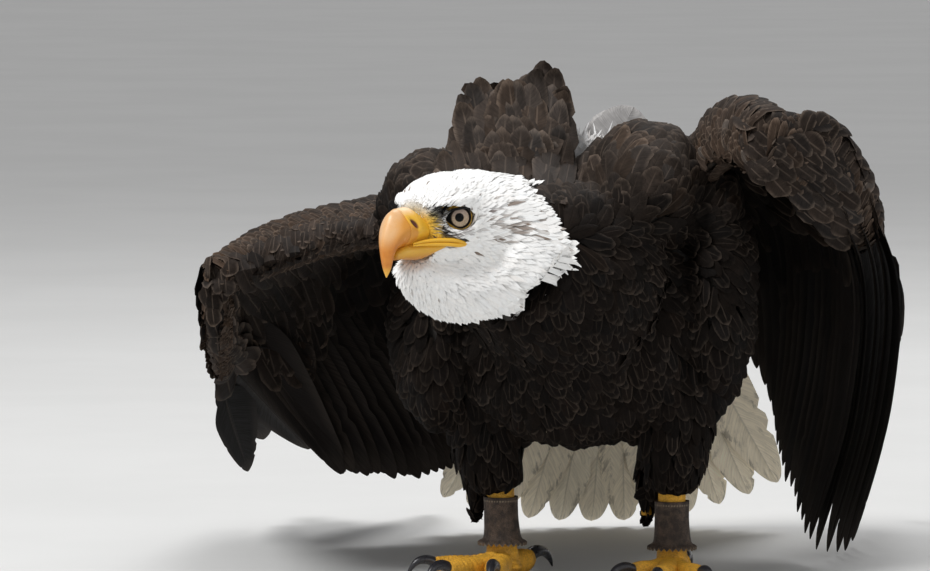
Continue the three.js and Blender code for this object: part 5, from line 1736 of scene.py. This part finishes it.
def splits(count, many, deep):
    """Small gaps where a flight feather's barbs have parted, as a share of its half width."""
    cut = np.ones((count, len(FLIGHT)))
    for i in range(count):
        for at in rng.uniform(0.3, 0.97, many):
            cut[i, min(np.searchsorted(FLIGHT, at), len(FLIGHT) - 2)] *= 1 - deep * rng.random()
    return cut


def flight_batch(wing, half, gs, lead, trail, tint, v0=0.03, end=1.0, rise=None, blunt=0.75, tilt=5):
    """Flight feathers, each tilted so that its leading edge lies over the next feather outwards."""
    count = len(gs)
    g = np.repeat(gs[:, None], len(FLIGHT), axis=1)
    v = v0 + (np.reshape(end, (-1, 1)) - v0) * np.broadcast_to(FLIGHT, g.shape)
    normal = wing_normal(wing, half, g, v)
    centre = wing_point(wing, half, g, v)
    if rise is not None:
        facing = np.array(WINGS[wing]["hand_face"])
        centre = centre + facing * (rise[:, None] * smooth(v, 0.08, 0.36))[..., None]
    centre[..., 2] = np.maximum(centre[..., 2], 1.6)
    sign = 1 if wing == "left" else -1
    shape = outline(FLIGHT, 0.4, blunt)[None]
    if half == "hand" and wing == "right":
        shape = shape * (0.12 + 0.88 * smooth(FLIGHT[None], 0.08, 0.48))
    outer = np.reshape(lead, (-1, 1)) * shape * splits(count, many=2, deep=0.12)
    inner = np.reshape(trail, (-1, 1)) * shape * splits(count, many=3, deep=0.16)
    right, left = (outer, inner) if sign > 0 else (inner, outer)
    thick, shaft = 0.5 - 0.25 * FLIGHT[None], 1.5 * (1 - 0.85 * FLIGHT[None])
    return vanes(centre, normal, FLIGHT, left, right, NINE, tint, droop=0.08 * (outer + inner) / 2,
                 thick=thick, roll=sign * math.radians(tilt), shaft=shaft)


INNER_TILT = {"left": 20, "right": 6}
OUTER = {"number": np.array([8.0, 9, 10]), "width": np.array([54.0, 48, 40])}
# The outermost primary's tint factor: on the left wing four times lighter, a painted sheen of light from the
# side on it; on the right wing halved.
OUTER_TILT, TENTH_PAINTED_LIGHT = {"left": 16, "right": 8}, {"left": 4.0, "right": 0.5}
FLIGHT_NODES = ("primaries", "secondaries", "primary_8", "primary_9", "primary_10")


def make_wing(wing):
    """Secondaries, inner primaries and the three spread outer primaries, with the coverts over them."""
    dark = lambda count, edge=0.25: tinted(count, FLIGHT_TINT, vary=0.12, edge=edge, edge_vary=0.08)
    arm = np.arange(-3, 15).astype(float)
    tertial = smooth(-arm, -3, 3)
    tint = dark(len(arm))
    tint[:, :3] = blend(tint[:, :3], MANTLE_BROWN, tertial * 0.6)
    end = 1 - 0.02 * rng.random(len(arm))
    batches = [flight_batch(wing, "arm", arm, 12 + 3 * tertial, 25 - 6 * tertial, tint, end=end)]
    hand = np.arange(15, 22).astype(float)
    batches.append(flight_batch(wing, "hand", hand, 15.0, 31.0, dark(len(hand)), tilt=INNER_TILT[wing]))
    number, width = OUTER["number"], OUTER["width"]
    tint = dark(len(number), 0.3)
    tint[-1, :3] = tint[-1, :3] * TENTH_PAINTED_LIGHT[wing]
    batches.append(flight_batch(wing, "hand", LAST - 10 + number, width * 0.36, width * 0.6, tint,
                                rise=(number - 7) * 2.4, blunt=0.5, v0=0.1, tilt=OUTER_TILT[wing]))
    nodes = [f"wing_{wing}_{part}" for part in FLIGHT_NODES]
    make_coat(f"flight_{wing}", batches, FLIGHT_VANE, nodes)
    coverts = [covert_batch(wing, half, upper) for half in HALVES for upper in (True, False)]
    coverts += [alula_batch(wing), edge_batch(wing)] + hanging_batches(wing)
    make_coat(f"coverts_{wing}", coverts, PLUMAGE, [f"wing_{wing}_alula"])


HANGING = {  # patches of tips between a left and a right edge of (height, across), as seen from in front
    "right": [
        {"low": (-250, 150), "high": (-200, 246), "pitch": 9.0, "rise": 8.0, "lean": 174, "sway": 0.05,
         "length": 22, "half": 6.6, "brown": 0.9,
         "left": [(150, -238), (190, -246), (240, -240)], "right": [(150, -206), (246, -202)]},
        {"low": (-216, 124), "high": (-146, 214), "pitch": 10.0, "rise": 9.0, "lean": 162, "sway": 0.08,
         "length": 36, "half": 8.5, "brown": 0.45, "over": 10.0,
         "left": [(124, -206), (214, -216)], "right": [(124, -172), (170, -156), (214, -150)]},
        # This patch is painted shaded dark at its low tips and lit light at its high ones, over the heights
        # of its fade.
        {"low": (-216, 206), "high": (-110, 256), "pitch": 7.0, "rise": 6.0, "lean": 188, "sway": 0.16,
         "length": 21, "half": 4.9, "brown": 0.9, "over": 6.0, "fade": (208, 240), "blunt": 0.6,
         "left": [(206, -212), (230, -212), (256, -178)], "right": [(206, -186), (222, -118), (256, -110)]},
    ],
    "left": [
        {"low": (112, 236), "high": (222, 326), "pitch": 11.0, "rise": 9.5, "lean": 128, "sway": 0.08,
         "length": 27, "half": 8.0, "brown": 0.9,
         "left": [(236, 176), (262, 146), (300, 128), (326, 118)],
         "right": [(236, 216), (262, 216), (290, 205), (308, 184), (326, 160)]},
    ],
}


def hanging_batches(wing):
    """The larger coverts that hang over the bent wrist and the hand, in rows like roof tiles."""
    tree = Nearest([f"wing_{wing}_{part}" for part in ("arm", "hand", "primaries", "secondaries")]).tree
    batches = []
    for patch in HANGING[wing]:
        (left_z, left_x), (right_z, right_x) = (zip(*patch[key]) for key in ("left", "right"))
        inside = lambda x, z: np.interp(z, left_z, left_x) < x < np.interp(z, right_z, right_x)
        tips = tiled(patch["low"], patch["high"], patch["pitch"], patch["rise"], inside)[::-1]
        brown = patch["brown"]
        batches.append(hung(
            tree, tips, math.radians(patch["lean"]), patch["sway"], patch["length"], patch["half"],
            blend(LINING, COVERT, brown), 0.2, 0.2 + 0.45 * brown, (1.5, 3.5), fade=patch.get("fade"),
            sink=3.0, over=patch.get("over", 3.2), blunt=patch.get("blunt", 0.9),
        ))
    return batches


WRAPS = (("arm", (-3, WRIST), WRIST - 0.8, 0.2), ("hand", (WRIST, LAST), WRIST + 0.3, 0.8))
EDGE_FEATHERS = {  # the reach round each place, and the feathers' length, half width, lift and spacing there
    "edge": (8.0, 15.0, 4.0, 3.6, 4.0), "fold": (22.0, 24.0, 6.4, 6.0, 5.6),
}


def edge_batch(wing):
    """Small feathers that wrap the leading edges, and close the fold between arm and hand at the wrist."""
    found, step = [], 0.02
    for half, ends, fold, share in WRAPS:
        g = np.linspace(*ends, 60)
        places = wing_point(wing, half, g, -1)
        back = unit(wing_point(wing, half, g, -1 + 2 * step) - places)
        ways = unit(unit(wing_point(wing, half, g + step, -1) - places) + back * 0.35)
        found += [(p, way, share, "edge") for p, way in zip(places, ways)]
        v = np.linspace(-1, 0.12, 24)
        ways = unit(wing_point(wing, half, fold, v + step) - wing_point(wing, half, fold, v - step))
        found += [(p, way, 0.6, "fold") for p, way in zip(wing_point(wing, half, fold, v), ways)]
    places, ways, shares, kinds = (np.array(x) for x in zip(*found))
    reaches, lengths, widths, lifts, gaps = np.array([EDGE_FEATHERS[kind] for kind in kinds]).T

    def nearest(p):
        apart = np.linalg.norm(p[:, None] - places[None], axis=2) / reaches[None]
        best = apart.argmin(axis=1)
        return best, apart[np.arange(len(p)), best]

    def spacing(p):
        best, apart = nearest(p)
        return np.where(apart < 1, gaps[best], 0)

    roots = scatter(flesh.points, flesh.faces, spacing)
    best, _ = nearest(roots)
    tint = tinted(len(roots), COVERT, vary=0.2, edge=0.5, edge_vary=0.2)
    tint[:, :3] = blend(CHESTNUT, COVERT, shares[best]) * (tint[:, :3] / COVERT)
    return body_vanes(flesh, roots, ways[best], lengths[best], widths[best], tint, sink=0.5, lift=lifts[best],
                      cling=0.85, blunt=0.85, sway=0.1, roll=0.05)


ALULA = np.array([  # g at the root and at the tip, v at the root, and lift
    (15.5, 20.5, -0.9, 13.0), (15.3, 19.4, -0.72, 14.5), (15.1, 18.3, -0.5, 16), (14.9, 17.4, -0.3, 17),
])


def alula_batch(wing):
    """Four stiff feathers of the thumb, from the wrist along the hand's leading edge."""
    dorsal = np.array(WINGS[wing]["dorsal"], float)
    start, end, v, lift = (column[:, None] for column in ALULA.T)
    s = LONG[None]
    centre = wing_point(wing, "hand", start + (end - start) * s, v + 0.1 * s)
    centre = centre + dorsal * (lift - 2 * s)[..., None]
    width = 10.5 * outline(LONG, 0.5, 0.4)[None]
    tint = tinted(len(ALULA), FLIGHT_TINT * 1.3, vary=0.1, edge=0.5)
    return vanes(centre, dorsal, LONG, width, width, FIVE, tint, droop=width * 0.15, thick=0.4)


# ------------------------------------------------------------------ tail

TAIL = {"reach": 306, "inner": 40, "half": 28, "feathers": 12, "arch": 12, "tilt": 10}
TAIL_TOP, TAIL_END, FLOOR_EASE = np.array([45.0, 173, 252]), np.array([42.0, 322, 4]), 10
tail_down = unit(TAIL_END - TAIL_TOP)
tail_left = np.array([math.cos(math.radians(TAIL["tilt"])), 0, math.sin(math.radians(TAIL["tilt"]))])
tail_side = unit(tail_left - tail_down * (tail_left @ tail_down))
tail_out = unit(np.cross(tail_side, tail_down))


def tail_point(angle, reach):
    swing = np.radians(angle)
    arch = TAIL["arch"] * np.cos(swing * 3) * reach / TAIL["reach"]
    parts = (reach * np.cos(swing), tail_down), (reach * np.sin(swing), tail_side), (arch, tail_out)
    p = TAIL_TOP + sum(a[..., None] * way for a, way in parts)
    p[..., 2] = 0.5 * (p[..., 2] + np.hypot(p[..., 2], FLOOR_EASE))
    return p


TAIL_TINT, TAIL_COVERT_TINT = np.array([0.95, 0.86, 0.68]), np.array([0.92, 0.84, 0.68])
TAIL_COVERTS = {  # reach and length of each row, over and under the tail
    1: [(20, 60), (44, 74), (70, 84)], -1: [(24, 66), (50, 78), (80, 84)],
}
TAIL_ROW, TAIL_DARK = 14, [0.10, 0.08, 0.065]


def make_tail():
    """The twelve feathers of the tail, with rows of coverts over and under their base."""
    count = TAIL["feathers"]
    pitch = 2 * TAIL["half"] / count
    angles = -TAIL["half"] + (np.arange(count) + 0.5) * pitch
    order = np.abs(np.arange(count) - (count - 1) / 2)
    reach = TAIL["inner"] + (TAIL["reach"] - TAIL["inner"]) * FLIGHT[None] * (1 - 0.012 * order[:, None])
    centre = tail_point(angles[:, None] + 0 * reach, reach) + tail_out * (2.2 - 0.45 * order)[:, None, None]
    centre[..., 2] = np.maximum(centre[..., 2], 1.4)
    shape = 22 * outline(FLIGHT, 0.45, 0.85)[None]
    left, right = (shape * splits(count, many=4, deep=0.25) for _ in range(2))
    tint = plain(count, TAIL_TINT, vary=0.04)
    batches = [vanes(centre, tail_out, FLIGHT, left, right, NINE, tint, droop=0.05 * left, thick=0.4,
                     shaft=1.2 * (1 - 0.8 * FLIGHT[None]))]
    width = 9.5 * outline(LONG, 0.5, 0.5)[None]
    for sign, rows in TAIL_COVERTS.items():
        for start, length in rows:
            a = np.linspace(-TAIL["half"] - 4, TAIL["half"] + 4, TAIL_ROW) + rng.normal(0, 0.8, TAIL_ROW)
            r = start + length * LONG[None] * varied(0.06, (TAIL_ROW, 1))
            p = tail_point(a[:, None] + 0 * r, r) + tail_out * sign * (4 + 6 * (1 - LONG[None, :, None]))
            tint = plain(TAIL_ROW, TAIL_COVERT_TINT, vary=0.08)
            tint[rng.random(TAIL_ROW) < 0.3, :3] = TAIL_DARK
            batches.append(vanes(p, tail_out * sign, LONG, width, width, FIVE, tint, droop=width * 0.2))
    make_coat("tail_feathers", batches, TAIL_VANE, ["tail"])


hood_points, hood_faces, hood_normals = remeshed(
    cad("head", "neck_hood", "neck_base", "trunk"), voxel=3.0, passes=8)
hood_surface = Surface(full_crown(hood_points), hood_faces, hood_normals)

make_body()
make_hood()
make_bristles()
make_lifted()
make_wing("left")
make_wing("right")
make_tail()
